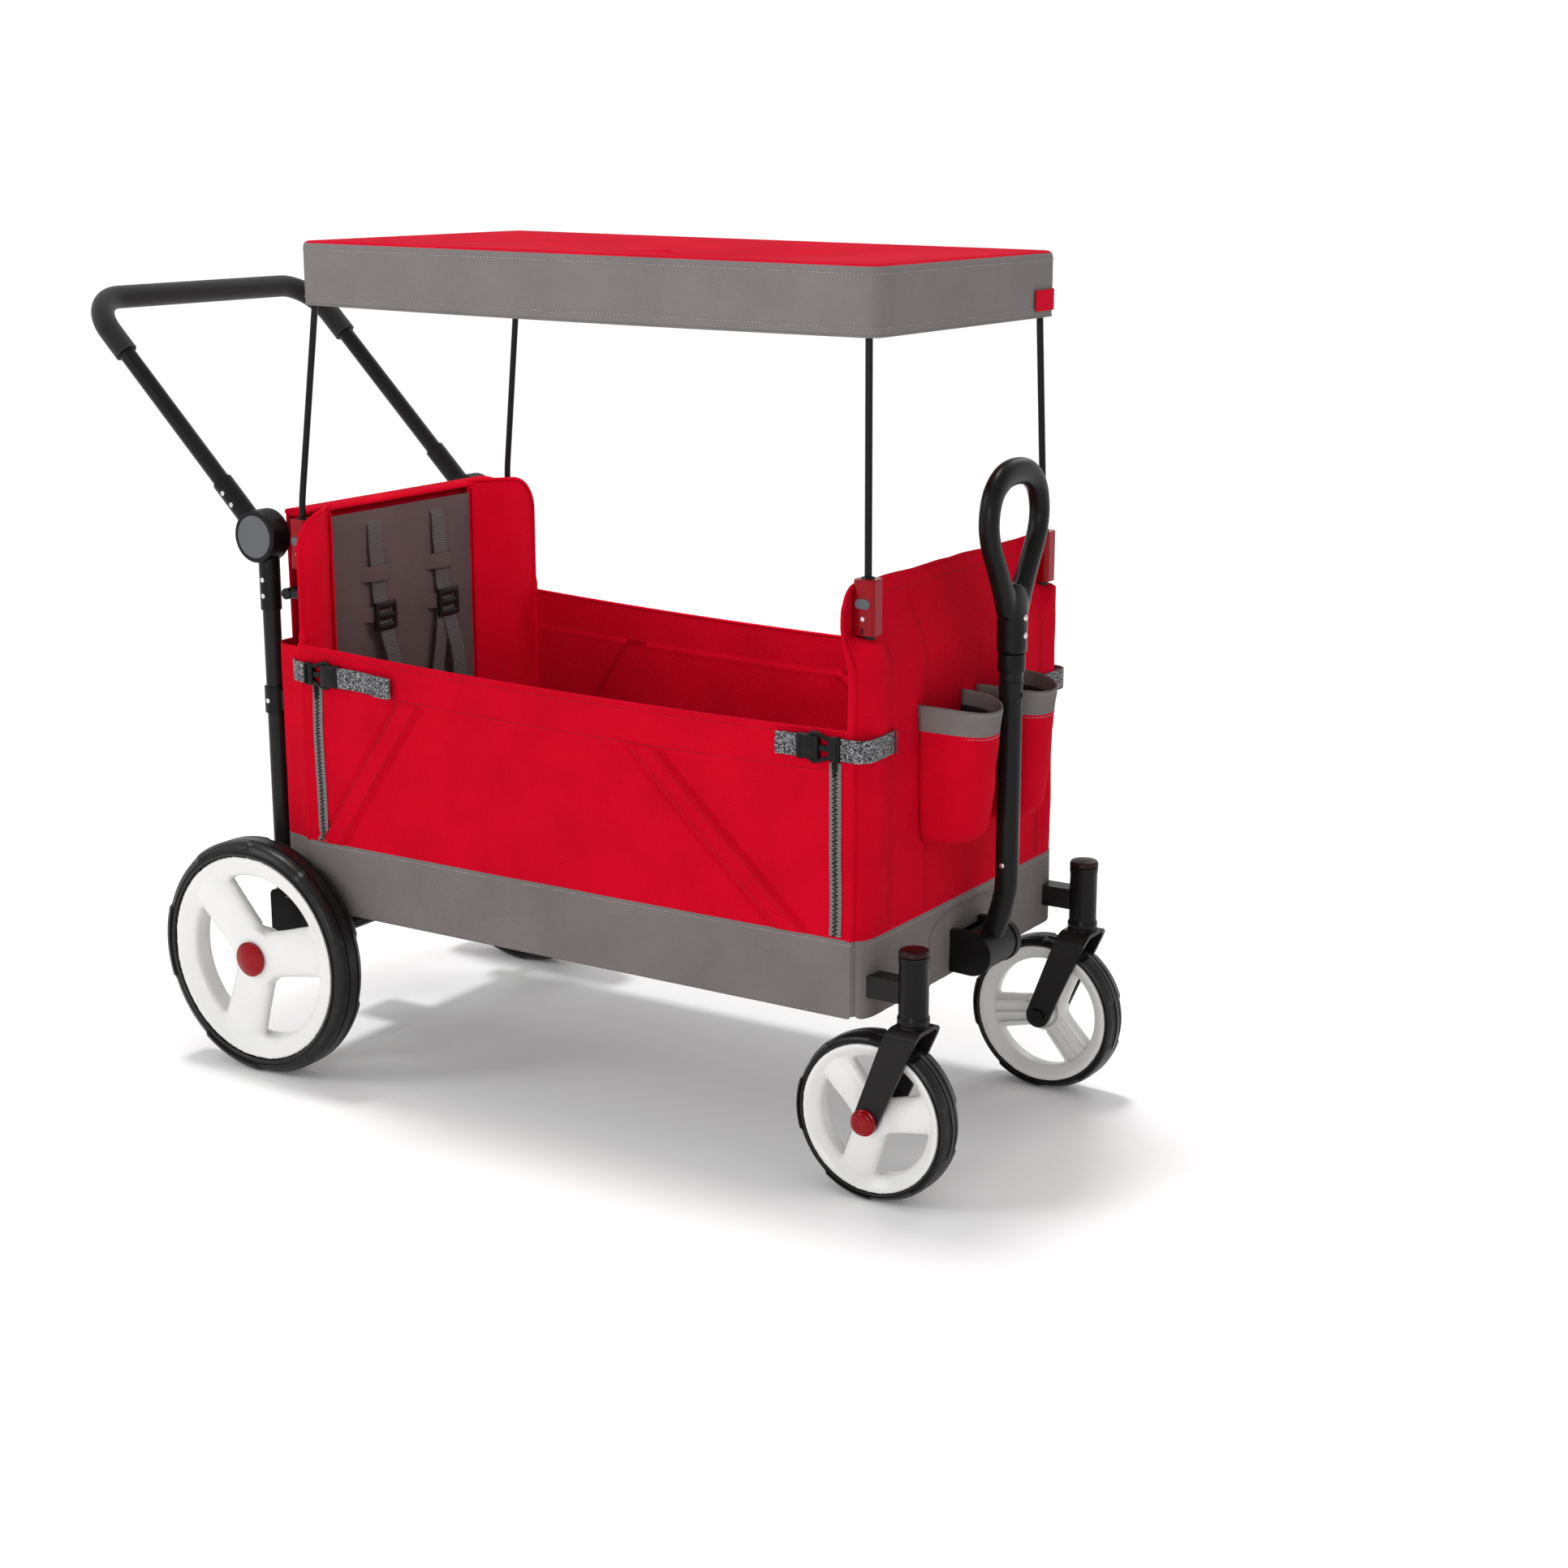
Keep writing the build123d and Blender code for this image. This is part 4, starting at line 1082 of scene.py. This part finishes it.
def pocket(name, side):
    middle_y = side * 67.0
    columns, rows, trim_rows = 64, 48, 9
    trim = 1 - trim_rows / rows

    def wall(u, v):
        bottom_round = 1 - 0.12 * (1 - ease(0, 0.07, v))
        x, y, z = pocket_point(math.pi * (u - 0.5), v)
        return (FRONT_X + (x - FRONT_X) * bottom_round, middle_y + y * bottom_round, z)

    def base(u, v):
        x, y, z = wall(u, 0)
        return (FRONT_X + (x - FRONT_X) * v, middle_y + (y - middle_y) * v, z - 1.5 * (1 - v))

    shape = merge(grid(columns, rows, wall), grid(columns, 10, base))
    cloth = make_piece(f"pocket_cloth_{name}", shape, RED, "front_frame", closed=False, sharp=None)
    second_color(cloth, GRAY, (rows - trim_rows) * columns, rows * columns)
    face_outward(cloth.data, weld=0.0002)
    thicken(cloth, 2.2)
    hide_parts(f"pocket_{name}")

    def lining(u, v):
        x, y, z = pocket_point(math.pi * (u - 0.5), 0.05 + 0.84 * v, 2.0)
        return (x, middle_y + y, z)

    inside = make_piece(f"pocket_lining_{name}", grid(48, 30, lining), LINING, "front_frame", closed=False)
    thicken(inside, 0.8)
    rows = []
    for level in (trim - 0.02, 0.975):
        path = []
        for step in range(81):
            x, y, z = wall(step / 80, level)
            path.append(Vector((x + 1.0, y, z)))
        rows.append(path)
    threads = []
    for row in rows:
        for (point, direction) in walk(row, 4.2):
            outward = Vector((point.x - FRONT_X, (point.y - middle_y) * 1.4, 0)).normalized()
            threads.append(stitches([point - direction * 2, point + direction * 2], outward, 4.2))
    stitching = make_piece(f"pocket_stitching_{name}", merge(*threads), GRAY_THREAD, "front_frame")


# ---------------------------------------------------------------- rear end


REAR_PLAN = [(54, 229), (54.5, 213), (54.5, 199), (50, 183), (37, 165), (26, 150), (22.5, 141), (21, 134)]
WING_LOW = 216.0
WING_BAND_TOP = 247.0
WING_ROUND = 45.0
WING_EDGE_Y = 230.0


def rear_wings():
    """Red cloth that comes forward round the uprights on both sides of the backrest."""
    plan = curve_through([(x, y, 0) for x, y in REAR_PLAN], 10)
    count = len(plan) - 1

    def top_at(y):
        gap = WING_EDGE_Y - 0.5 - y
        if gap >= WING_ROUND:
            return REAR_TOP - 1
        return REAR_TOP - 1 - WING_ROUND + math.sqrt(max(0, WING_ROUND**2 - (WING_ROUND - gap) ** 2))

    for name, side in SIDES.items():
        def place(u, v):
            point = plan[round(u * count)]
            z = WING_LOW + v * (top_at(point.y) - WING_LOW)
            x = point.x + waves(point.y * side, 11, z, 70, 1.4)
            return (x - CLOTH / 2, point.y, z)

        shape = mirror(grid(count, 110, place), side)
        wing = make_piece(f"rear_wing_{name}", shape, RED, "rear_frame", closed=False, sharp=None)
        wing.data.materials.append(GRAY)
        for face in wing.data.polygons:
            face.material_index = 1 if face.center.z < WING_BAND_TOP / 1000 else 0
        thicken(wing, CLOTH)
        if name == "left":
            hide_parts("rear_panel")
        edge = [Vector((REAR_PLAN[0][0], side * WING_EDGE_Y, WING_LOW - 2 + step * 9)) for step in range(50)]
        for step in range(13):
            angle = math.radians(90 * step / 12)
            y = WING_EDGE_Y - WING_ROUND + WING_ROUND * math.cos(angle)
            z = REAR_TOP - WING_ROUND + WING_ROUND * math.sin(angle)
            nearest = min(plan, key=lambda p: abs(p.y - y))
            edge.append(Vector((nearest.x, side * y, z)))
        for point in [p for p in plan if p.y < 183]:
            edge.append(Vector((point.x, side * point.y, REAR_TOP)))
        radii = [4.0 if point.z < 560 else 2.6 for point in edge]
        shape = rod(edge, radii, Vector((1, side * 0.4, 0.1)).normalized(), 12)
        make_piece(f"rear_piping_{name}", shape, RED, "rear_frame")


def rear_back():
    """Cloth behind the rear end, round its corners, and the hem over its top."""
    def skirt_point(u, v):
        y = 186 * (2 * u - 1)
        z = split(v, 0.2, TUB_BOTTOM, BAND_TOP, REAR_TOP - 2)
        x = -3 + waves(y, 31, z, 90, 1.4) - 0.9 * (1 - ease(BAND_TOP - 1, BAND_TOP + 1, z))
        return (x, -y, z)

    skirt = make_piece("rear_skirt", grid(90, 110, skirt_point), RED, "rear_frame", closed=False, sharp=None)
    hem_path = [Vector((9, -186 + step * 6, REAR_TOP - 3.5)) for step in range(63)]
    make_piece("rear_hem", strap(hem_path, ALONG, 31, 9, 0.7, 20), RED, "rear_frame")
    corner_plan = curve_through([(-3, 184, 0), (-2, 204, 0), (10, 218, 0), (32, 223, 0), (52, 231, 0)], 6)
    count = len(corner_plan) - 1
    pieces = [skirt]
    for name, side in SIDES.items():
        def corner_point(u, v):
            point = corner_plan[round(u * count)]
            z = split(v, 0.2, TUB_BOTTOM + 3, BAND_TOP, 541)
            return (point.x, point.y + waves(point.x, 50, z, 60, 1.0), z)

        shape = mirror(grid(count, 90, corner_point), side)
        pieces.append(make_piece(f"rear_corner_{name}", shape, RED, "rear_frame", closed=False, sharp=None))
    for piece in pieces:
        second_color(piece, GRAY, 0, len(piece.data.polygons) // 5)
        thicken(piece, CLOTH)
    rows = [[Vector((-5.6, y * 5, z)) for y in range(-36, 37)] for z in (BAND_TOP - 4, REAR_TOP - 24)]
    threads = merge(*[stitches(row, ALONG * -1) for row in rows])
    make_piece("rear_stitching", threads, RED_THREAD_AND_SEAM_SHADE, "rear_frame")


PAD_HALF_WIDTH = 138.0
PAD_LOW, PAD_HIGH = 250.0, 693.0
PAD_SWELL = 0.0042
PAD_HELD_EDGE = 0.02
SWELL_FRAMES = 20


def backrest():
    """Padded backrest, swollen by a short cloth simulation and then sewn down at its edge."""
    half_width, low, high = PAD_HALF_WIDTH, PAD_LOW, PAD_HIGH
    rings = []
    for inset, x in ((3, 17.6), (0, 18.6), (0, 20.8), (3, 22.0)):
        ring = []
        for y, z in ((-half_width + inset, low + inset), (half_width - inset, low + inset),
                     (half_width - inset, high - inset), (-half_width + inset, high - inset)):
            ring.append((x, y, z))
        rings.append(ring)
    pad = make_piece("backrest_pad", loft(rings), TAUPE, "rear_frame", sharp=None)
    remesh = pad.modifiers.new("remesh", "REMESH")
    remesh.mode = "VOXEL"
    remesh.voxel_size = 0.0045
    apply_modifiers(pad)
    rest = [vertex.co.copy() for vertex in pad.data.vertices]
    cloth = pad.modifiers.new("swell", "CLOTH")
    cloth.settings.quality = 5
    cloth.settings.use_pressure = True
    cloth.settings.uniform_pressure_force = 4.0
    cloth.settings.effector_weights.gravity = 0.0
    cloth.point_cache.frame_start = 1
    cloth.point_cache.frame_end = SWELL_FRAMES
    for step in range(1, SWELL_FRAMES + 1):
        SCENE.frame_set(step)
    apply_modifiers(pad)
    SCENE.frame_set(1)
    middle_z = (low + high) / 2000
    for vertex, start in zip(pad.data.vertices, rest):
        move = vertex.co - start
        if move.length > PAD_SWELL:
            move = move * (PAD_SWELL / move.length)
        side_share = min(1.0, (half_width / 1000 - abs(start.y)) / PAD_HELD_EDGE)
        end_share = min(1.0, ((high - low) / 2000 - abs(start.z - middle_z)) / PAD_HELD_EDGE)
        move.x *= max(0.0, min(side_share, end_share))
        move.y, move.z = 0.0, 0.0
        crease = waves(start.y * 1000, 4, start.z * 1000, 75, 0.0012)
        vertex.co = start + move + Vector((crease * max(0.0, side_share), 0, 0))
    smooth = pad.modifiers.new("smooth", "SMOOTH")
    smooth.iterations = 4
    subdivide = pad.modifiers.new("subdivide", "SUBSURF")
    subdivide.levels = 1
    apply_modifiers(pad)
    pad.data.shade_smooth()
    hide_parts("backrest_panel")
    border = curve_through([(24.6, -half_width - 0.6, z) for z in (low, 400, 560, high)], 12)
    piping = rod(border, 2.0, ALONG, 10)
    make_piece("backrest_piping_right", piping, RED, "rear_frame")
    make_piece("backrest_piping_left", mirror(piping, -1), RED, "rear_frame")


def harness():
    """Shoulder straps with sliders, the loops that hold them, and their lower tails."""
    webbing, plastic, loops = [], [], []
    for side in (1, -1):
        y = side * 62.0
        upper = curve_through(
            [(20, y, 676), (27.5, y, 668), (29.6, y - 1, 640), (31.4, y, 608), (30.4, y + 2, 580),
             (34.5, y + 3, 558), (33.5, y + 4, 540)], 8,
        )
        lower = curve_through(
            [(34.5, y + 4, 552), (39.5, y + 8, 520), (43.5, y + 14, 486), (42.5, y + 18, 440),
             (36, y + 20, 385), (29, y + 20, 330)], 8,
        )
        webbing += [strap(upper, ACROSS, 25, 2.4, 0.3), strap(lower, ACROSS, 25, 2.4, 0.3)]
        if side > 0:
            branch = curve_through(
                [(34.5, y - 2, 548), (38, y - 12, 505), (36, y - 20, 460), (31, y - 25, 400)], 8
            )
            webbing.append(strap(branch, ACROSS, 22, 2.4, 0.3))
        for z in (608, 556):
            loop = curve_through(
                [(24, y - 29, z), (29, y - 21, z), (35.0, y - 10, z), (35.2, y + 12, z),
                 (29, y + 25, z), (24, y + 33, z)], 6,
            )
            loops.append(strap(loop, UP, 20, 1.8, 0.4))
        slider = Vector((38.2, y + 4, 553))
        for offset in (-14, 0, 14):
            bar = [slider + Vector((bow, across, offset)) for bow, across in ((0, -19), (1.5, 0), (0, 19))]
            plastic.append(strap(bar, UP, 8.5, 4.6, 0.6))
        for offset in (-17, 17):
            post = [slider + Vector((bow, offset, up)) for bow, up in ((0, -17), (0.8, 0), (0, 17))]
            plastic.append(strap(post, ACROSS, 6, 5, 0.6))
    straps = make_piece("harness", merge(*webbing), HARNESS, "rear_frame")
    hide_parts("harness_straps")
    keepers = make_piece("harness_keepers", merge(*loops), TAUPE, "rear_frame")
    sliders = make_piece("harness_sliders", merge(*plastic), BLACK_PLASTIC, "rear_frame")


def tub_base():
    """Cloth under the tub, joined to the side walls along their lower edges."""
    def place(u, v):
        y = 227 * (2 * v - 1)
        x = 2 + u * (front_x(y, TUB_BOTTOM) - 7)
        rise = 3.0 * ease(216, 227, abs(y))
        return (x, y, 212.4 + rise + waves(x, y, 3, 80, 0.8))

    base = make_piece("tub_base", grid(120, 60, place), GRAY, "rear_frame", closed=False, sharp=None)
    thicken(base, 1.6)
    shortens(base)


# ---------------------------------------------------------------- pull handle


def pull_handle():
    """Closed loop grip with a teardrop hole, its screws, and the collar on the tube."""
    half_loop = [(13, 634, 13), (22, 656, 12.6), (38, 685, 11.4), (54, 713, 10.8), (60, 740, 10.9)]
    half_loop += [(52, 768, 12.6), (30, 785, 14.6), (0, 790, 15.2)]
    profile = half_loop + [(-y, z, r) for y, z, r in reversed(half_loop[:-1])]
    centre_line = curve_through([(0, y, z) for y, z, _ in profile], 8)
    sizes = [v.x for v in curve_through([(r, 0, 0) for _, _, r in profile], 8)]
    rings = []
    for point, direction, size in zip(centre_line, directions(centre_line), sizes):
        first = direction.cross(ALONG).normalized()
        rings.append(oval(point, first, ALONG, size, 11.6, 0.88, 18))
    sections = [
        (588, 16.8, 16.8), (604, 17, 17), (622, 19, 16.6), (636, 23.5, 15.4), (650, 28, 13),
        (659, 20, 11), (666, 9, 8),
    ]
    neck = [oval((0, 0, z), ACROSS, ALONG, wide, deep, 0.92, 24) for z, wide, deep in sections]
    mesh = fuse("grip_form", merge(loft(rings), loft(neck)), GRIP_PLASTIC, 1.7, 8)
    grip = place_copy("pull_grip_body", mesh, GRIP_PLASTIC, (PULL_X, 0, 0), 1, "pull_grip")
    bpy.data.meshes.remove(mesh)
    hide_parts("pull_grip")
    screws = [screw_head((PULL_X + 16.2, 0, z)) for z in (608, 628)]
    make_piece("grip_screws", merge(*screws), STEEL, "pull_grip")
    collar = [(13.4, 566), (15.2, 566.6), (15.6, 569), (15.6, 583), (15.0, 586.4), (13.4, 587)]
    lip = [(13.4, 553), (14.2, 553.4), (14.2, 555.6), (13.4, 556)]
    rings = merge(turned(collar, (PULL_X, 0, 0)), turned(lip, (PULL_X, 0, 0)))
    make_piece("pull_tube_collar", rings, BLACK_PLASTIC, "pull_handle")
    make_piece("tube_snap_button", screw_head((PULL_X + 13.2, 0, 540)), BLACK_PLASTIC, "pull_handle")
    make_piece("tube_screw", side_screw((PULL_X, -13.3, 343), -1, 3.2), STEEL, "pull_handle")


def screw_head(point):
    """Small domed head that faces +X."""
    rings = []
    for out, radius in ((-1, 3.6), (0.4, 3.6), (1.2, 3.0), (1.7, 1.8), (1.9, 0.5)):
        rings.append(oval(Vector(point) + ALONG * out, ACROSS, UP, radius, radius, 1.0, 20))
    return loft(rings)


def side_screw(point, side, radius):
    """Small domed head that faces the side."""
    rings = []
    for out, share in ((-1, 1), (0.5, 1), (1.1, 0.8), (1.4, 0.45), (1.2, 0.15)):
        centre = Vector(point) + ACROSS * (side * out)
        rings.append(oval(centre, ALONG, UP, radius * share, radius * share, 1.0, 20))
    return loft(rings)


def socket_details():
    """Screw and drain slot of each canopy socket, and the black ring its bow enters."""
    for end, x, y, body in (("rear", 36.0, 200.0, "rear_frame"), ("front", 838.0, 203.0, "front_frame")):
        for name, side in SIDES.items():
            face = side * (y + 12.0)
            screw = side_screw((x, face, 652), side, 2.9)
            make_piece(f"socket_screw_{end}_{name}", screw, STEEL, body)
            slot_path = [Vector((x, face + side * 0.2, z)) for z in (636, 639, 642)]
            slot = strap(slot_path, ALONG, 2.2, 1.2, 0.6)
            entry = turned([(4.6, 693.6), (7.6, 693.6), (7.2, 695.4), (5.0, 695.8)], (x, side * y, 0), UP, 32)
            dark = make_piece(f"socket_slot_{end}_{name}", merge(slot, entry), BLACK_PLASTIC, body)


# ---------------------------------------------------------------- canopy


def canopy_outline(share, half_x, half_y, radius):
    """Point on a rounded rectangle about the origin, share from 0 to 1 round it."""
    straight_x, straight_y = 2 * (half_x - radius), 2 * (half_y - radius)
    arc = math.pi * radius / 2
    runs = [straight_x, arc, straight_y, arc, straight_x, arc, straight_y, arc]
    place = share * sum(runs)
    starts = [
        (-half_x + radius, -half_y, 0), (half_x - radius, -half_y + radius, -90),
        (half_x, -half_y + radius, 90), (half_x - radius, half_y - radius, 0),
        (half_x - radius, half_y, 180), (-half_x + radius, half_y - radius, 90),
        (-half_x, half_y - radius, 270), (-half_x + radius, -half_y + radius, 180),
    ]
    for index, run in enumerate(runs):
        if place <= run or index == 7:
            x, y, turn = starts[index]
            if index % 2 == 0:
                angle = math.radians(turn)
                return x + place * math.cos(angle), y + place * math.sin(angle)
            angle = math.radians(turn + 90 * place / run)
            return x + radius * math.cos(angle), y + radius * math.sin(angle)
        place -= run


def rear_lift(x, half_x):
    """The cover stands a little higher at its rear end."""
    return CANOPY_LIFT * (half_x - x) / (2 * half_x)


def canopy():
    """One sheet: gray valance all round, a soft edge, and a red top that sags between its bows."""
    middle_x = sum(CANOPY_X) / 2
    half_x = (CANOPY_X[1] - CANOPY_X[0]) / 2
    valance_rows, around = 18, 400
    levels = [(1.0, CANOPY_BOTTOM + step / 16 * VALANCE_DROP, 0.0) for step in range(17)]
    for degrees in (20, 40, 60, 80):
        angle = math.radians(degrees)
        rise, inset = CANOPY_EDGE * math.sin(angle), CANOPY_EDGE - CANOPY_EDGE * math.cos(angle)
        levels.append((1.0, CANOPY_BOTTOM + VALANCE_DROP + rise, inset))
    for step in range(1, 41):
        levels.append((1 - step / 40 * 0.985, None, CANOPY_EDGE))

    def place(u, v):
        scale, height, inset = levels[round(v * (len(levels) - 1))]
        corner = CANOPY_CORNER - inset * 0.8
        x, y = canopy_outline(u % 1.0, half_x - inset, CANOPY_HALF_WIDTH - inset, corner)
        lift = rear_lift(x, half_x)
        if height is None:
            x, y = x * scale, y * scale
            end_gap = (half_x - 16 - abs(x)) / (half_x - 16)
            side_gap = (CANOPY_HALF_WIDTH - abs(y)) / CANOPY_HALF_WIDTH
            sag = 9.5 * ease(0, 0.75, max(0, end_gap)) * ease(0, 0.9, side_gap)
            height = CANOPY_TOP - 0.6 - sag + waves(x, y, 4, 110, 1.2) * (1 - scale)
        else:
            share = (height - CANOPY_BOTTOM) / (CANOPY_TOP - CANOPY_BOTTOM)
            grow = 1.8 * math.sin(math.pi * min(1, share)) * waves(x * 1.1, y * 1.1, 60, 70, 1.0)
            droop = 1.6 * math.sin(math.pi * (x + half_x) / (2 * half_x)) * (1 - share)
            x += math.copysign(grow, x) if abs(x) > half_x - 8 else 0
            y += math.copysign(grow, y) if abs(y) > CANOPY_HALF_WIDTH - 8 else 0
            height -= droop
        return (middle_x + x, y, height + lift)

    points, faces = grid(around, len(levels) - 1, place)
    cover = make_piece("canopy_cover", (points, faces), CANOPY_RED, "canopy_rear", closed=False, sharp=None)
    second_color(cover, VALANCE, 0, valance_rows * around)
    work = bmesh.new()
    work.from_mesh(cover.data)
    bmesh.ops.remove_doubles(work, verts=work.verts, dist=0.00005)
    boundary = [edge for edge in work.edges if edge.is_boundary]
    inner = [edge for edge in boundary if edge.calc_length() < 0.0003 and edge.verts[0].co.z > 1.0]
    bmesh.ops.holes_fill(work, edges=inner, sides=0)
    work.to_mesh(cover.data)
    work.free()
    thicken(cover, 1.6)
    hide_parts("canopy_top")
    rows = []
    for level in (CANOPY_BOTTOM + 9, CANOPY_BOTTOM + 64):
        path = []
        for step in range(401):
            x, y = canopy_outline(step / 400 % 1.0, half_x + 1.5, CANOPY_HALF_WIDTH + 1.5, CANOPY_CORNER + 1)
            path.append(Vector((middle_x + x, y, level + rear_lift(x, half_x))))
        rows.append(path)
    threads = []
    for row in rows:
        for point, direction in walk(row, 5.0):
            normal = direction.cross(UP)
            threads.append(stitches([point - direction * 2.2, point + direction * 2.2], normal, 4.4, 2.8))
    stitching = make_piece("canopy_stitching", merge(*threads), GRAY_THREAD, "canopy_rear")
    tag_path = [Vector((CANOPY_X[1] + 3.6, y, 964)) for y in (148, 165, 182)]
    tag_path += [Vector((CANOPY_X[1] + 2.8, 194, 964)), Vector((CANOPY_X[1] - 4, 203.5, 964))]
    tag_shape = strap(curve_through(tag_path, 6), UP, 24, 1.4, 0.3)
    tag = make_piece("canopy_tag", tag_shape, CANOPY_RED, "canopy_rear")
    hem_path = []
    for step in range(401):
        x, y = canopy_outline(step / 400 % 1.0, half_x, CANOPY_HALF_WIDTH, CANOPY_CORNER)
        droop = 1.6 * math.sin(math.pi * (x + half_x) / (2 * half_x))
        hem_path.append(Vector((middle_x + x, y, CANOPY_BOTTOM - droop + 0.5 + rear_lift(x, half_x))))
    hem = make_piece("canopy_hem", rod(hem_path, 1.5, UP, 8), VALANCE, "canopy_rear")
    for piece in (stitching, tag, hem, cover):
        shortens(piece)


# ---------------------------------------------------------------- studio


def studio():
    """Pale floor, a sky that darkens overhead, soft lights and the camera."""
    floor_mesh = bpy.data.meshes.new("floor")
    angles = [math.tau * k / 48 for k in range(48)]
    ground = [(FLOOR_RADIUS * math.cos(angle), FLOOR_RADIUS * math.sin(angle), 0) for angle in angles]
    floor_mesh.from_pydata(ground, [], [tuple(range(len(ground)))])
    material, shader = base_material("studio_floor", (0.97, 0.97, 0.97), 0.8, specular=0.0)
    vary_roughness(material, shader, 3.0, 0.75, 0.9)
    floor = add_object("floor", floor_mesh, material)
    world = bpy.data.worlds.new("studio")
    world.use_nodes = True
    background = world.node_tree.nodes["Background"]
    background.inputs["Color"].default_value = (1, 1, 1, 1)
    height = add_node(world, "ShaderNodeSeparateXYZ")
    link(world, add_node(world, "ShaderNodeTexCoord").outputs["Generated"], height.inputs[0])
    fade = add_node(world, "ShaderNodeMapRange", From_Min=0.1, From_Max=0.5, To_Min=1.0, To_Max=0.6)
    link(world, height.outputs["Z"], fade.inputs["Value"])
    link(world, fade.outputs["Result"], background.inputs["Strength"])
    SCENE.world = world
    SCENE.view_settings.view_transform = "Standard"
    for name, kind, place, size, power in LAMPS:
        light = bpy.data.lights.new(name, kind)
        light.energy = power
        if kind == "SUN":
            light.angle = size
        else:
            light.size = size
        lamp = bpy.data.objects.new(name, light)
        lamp.location = place
        lamp.rotation_euler = (LOOK_AT - Vector(place)).to_track_quat("-Z", "Y").to_euler()
        SCENE.collection.objects.link(lamp)
    camera = bpy.data.objects.new("camera", bpy.data.cameras.new("camera"))
    camera.location = CAMERA_PLACE
    level = math.cos(CAMERA_PITCH)
    view = Vector((-math.sin(CAMERA_YAW) * level, math.cos(CAMERA_YAW) * level, -math.sin(CAMERA_PITCH)))
    camera.rotation_euler = view.to_track_quat("-Z", "Y").to_euler()
    camera.data.lens = CAMERA_LENS
    camera.data.sensor_width = 36
    SCENE.collection.objects.link(camera)
    SCENE.camera = camera


dress_cad_parts()
studio()
wheels()
castors()
for side_name, side_sign in SIDES.items():
    side_wall(side_name, side_sign)
    zips(side_name, side_sign)
    corner_straps(side_name, side_sign)
    pocket(side_name, side_sign)
front_cloth()
rear_wings()
rear_back()
backrest()
harness()
tub_base()
pull_handle()
socket_details()
canopy()
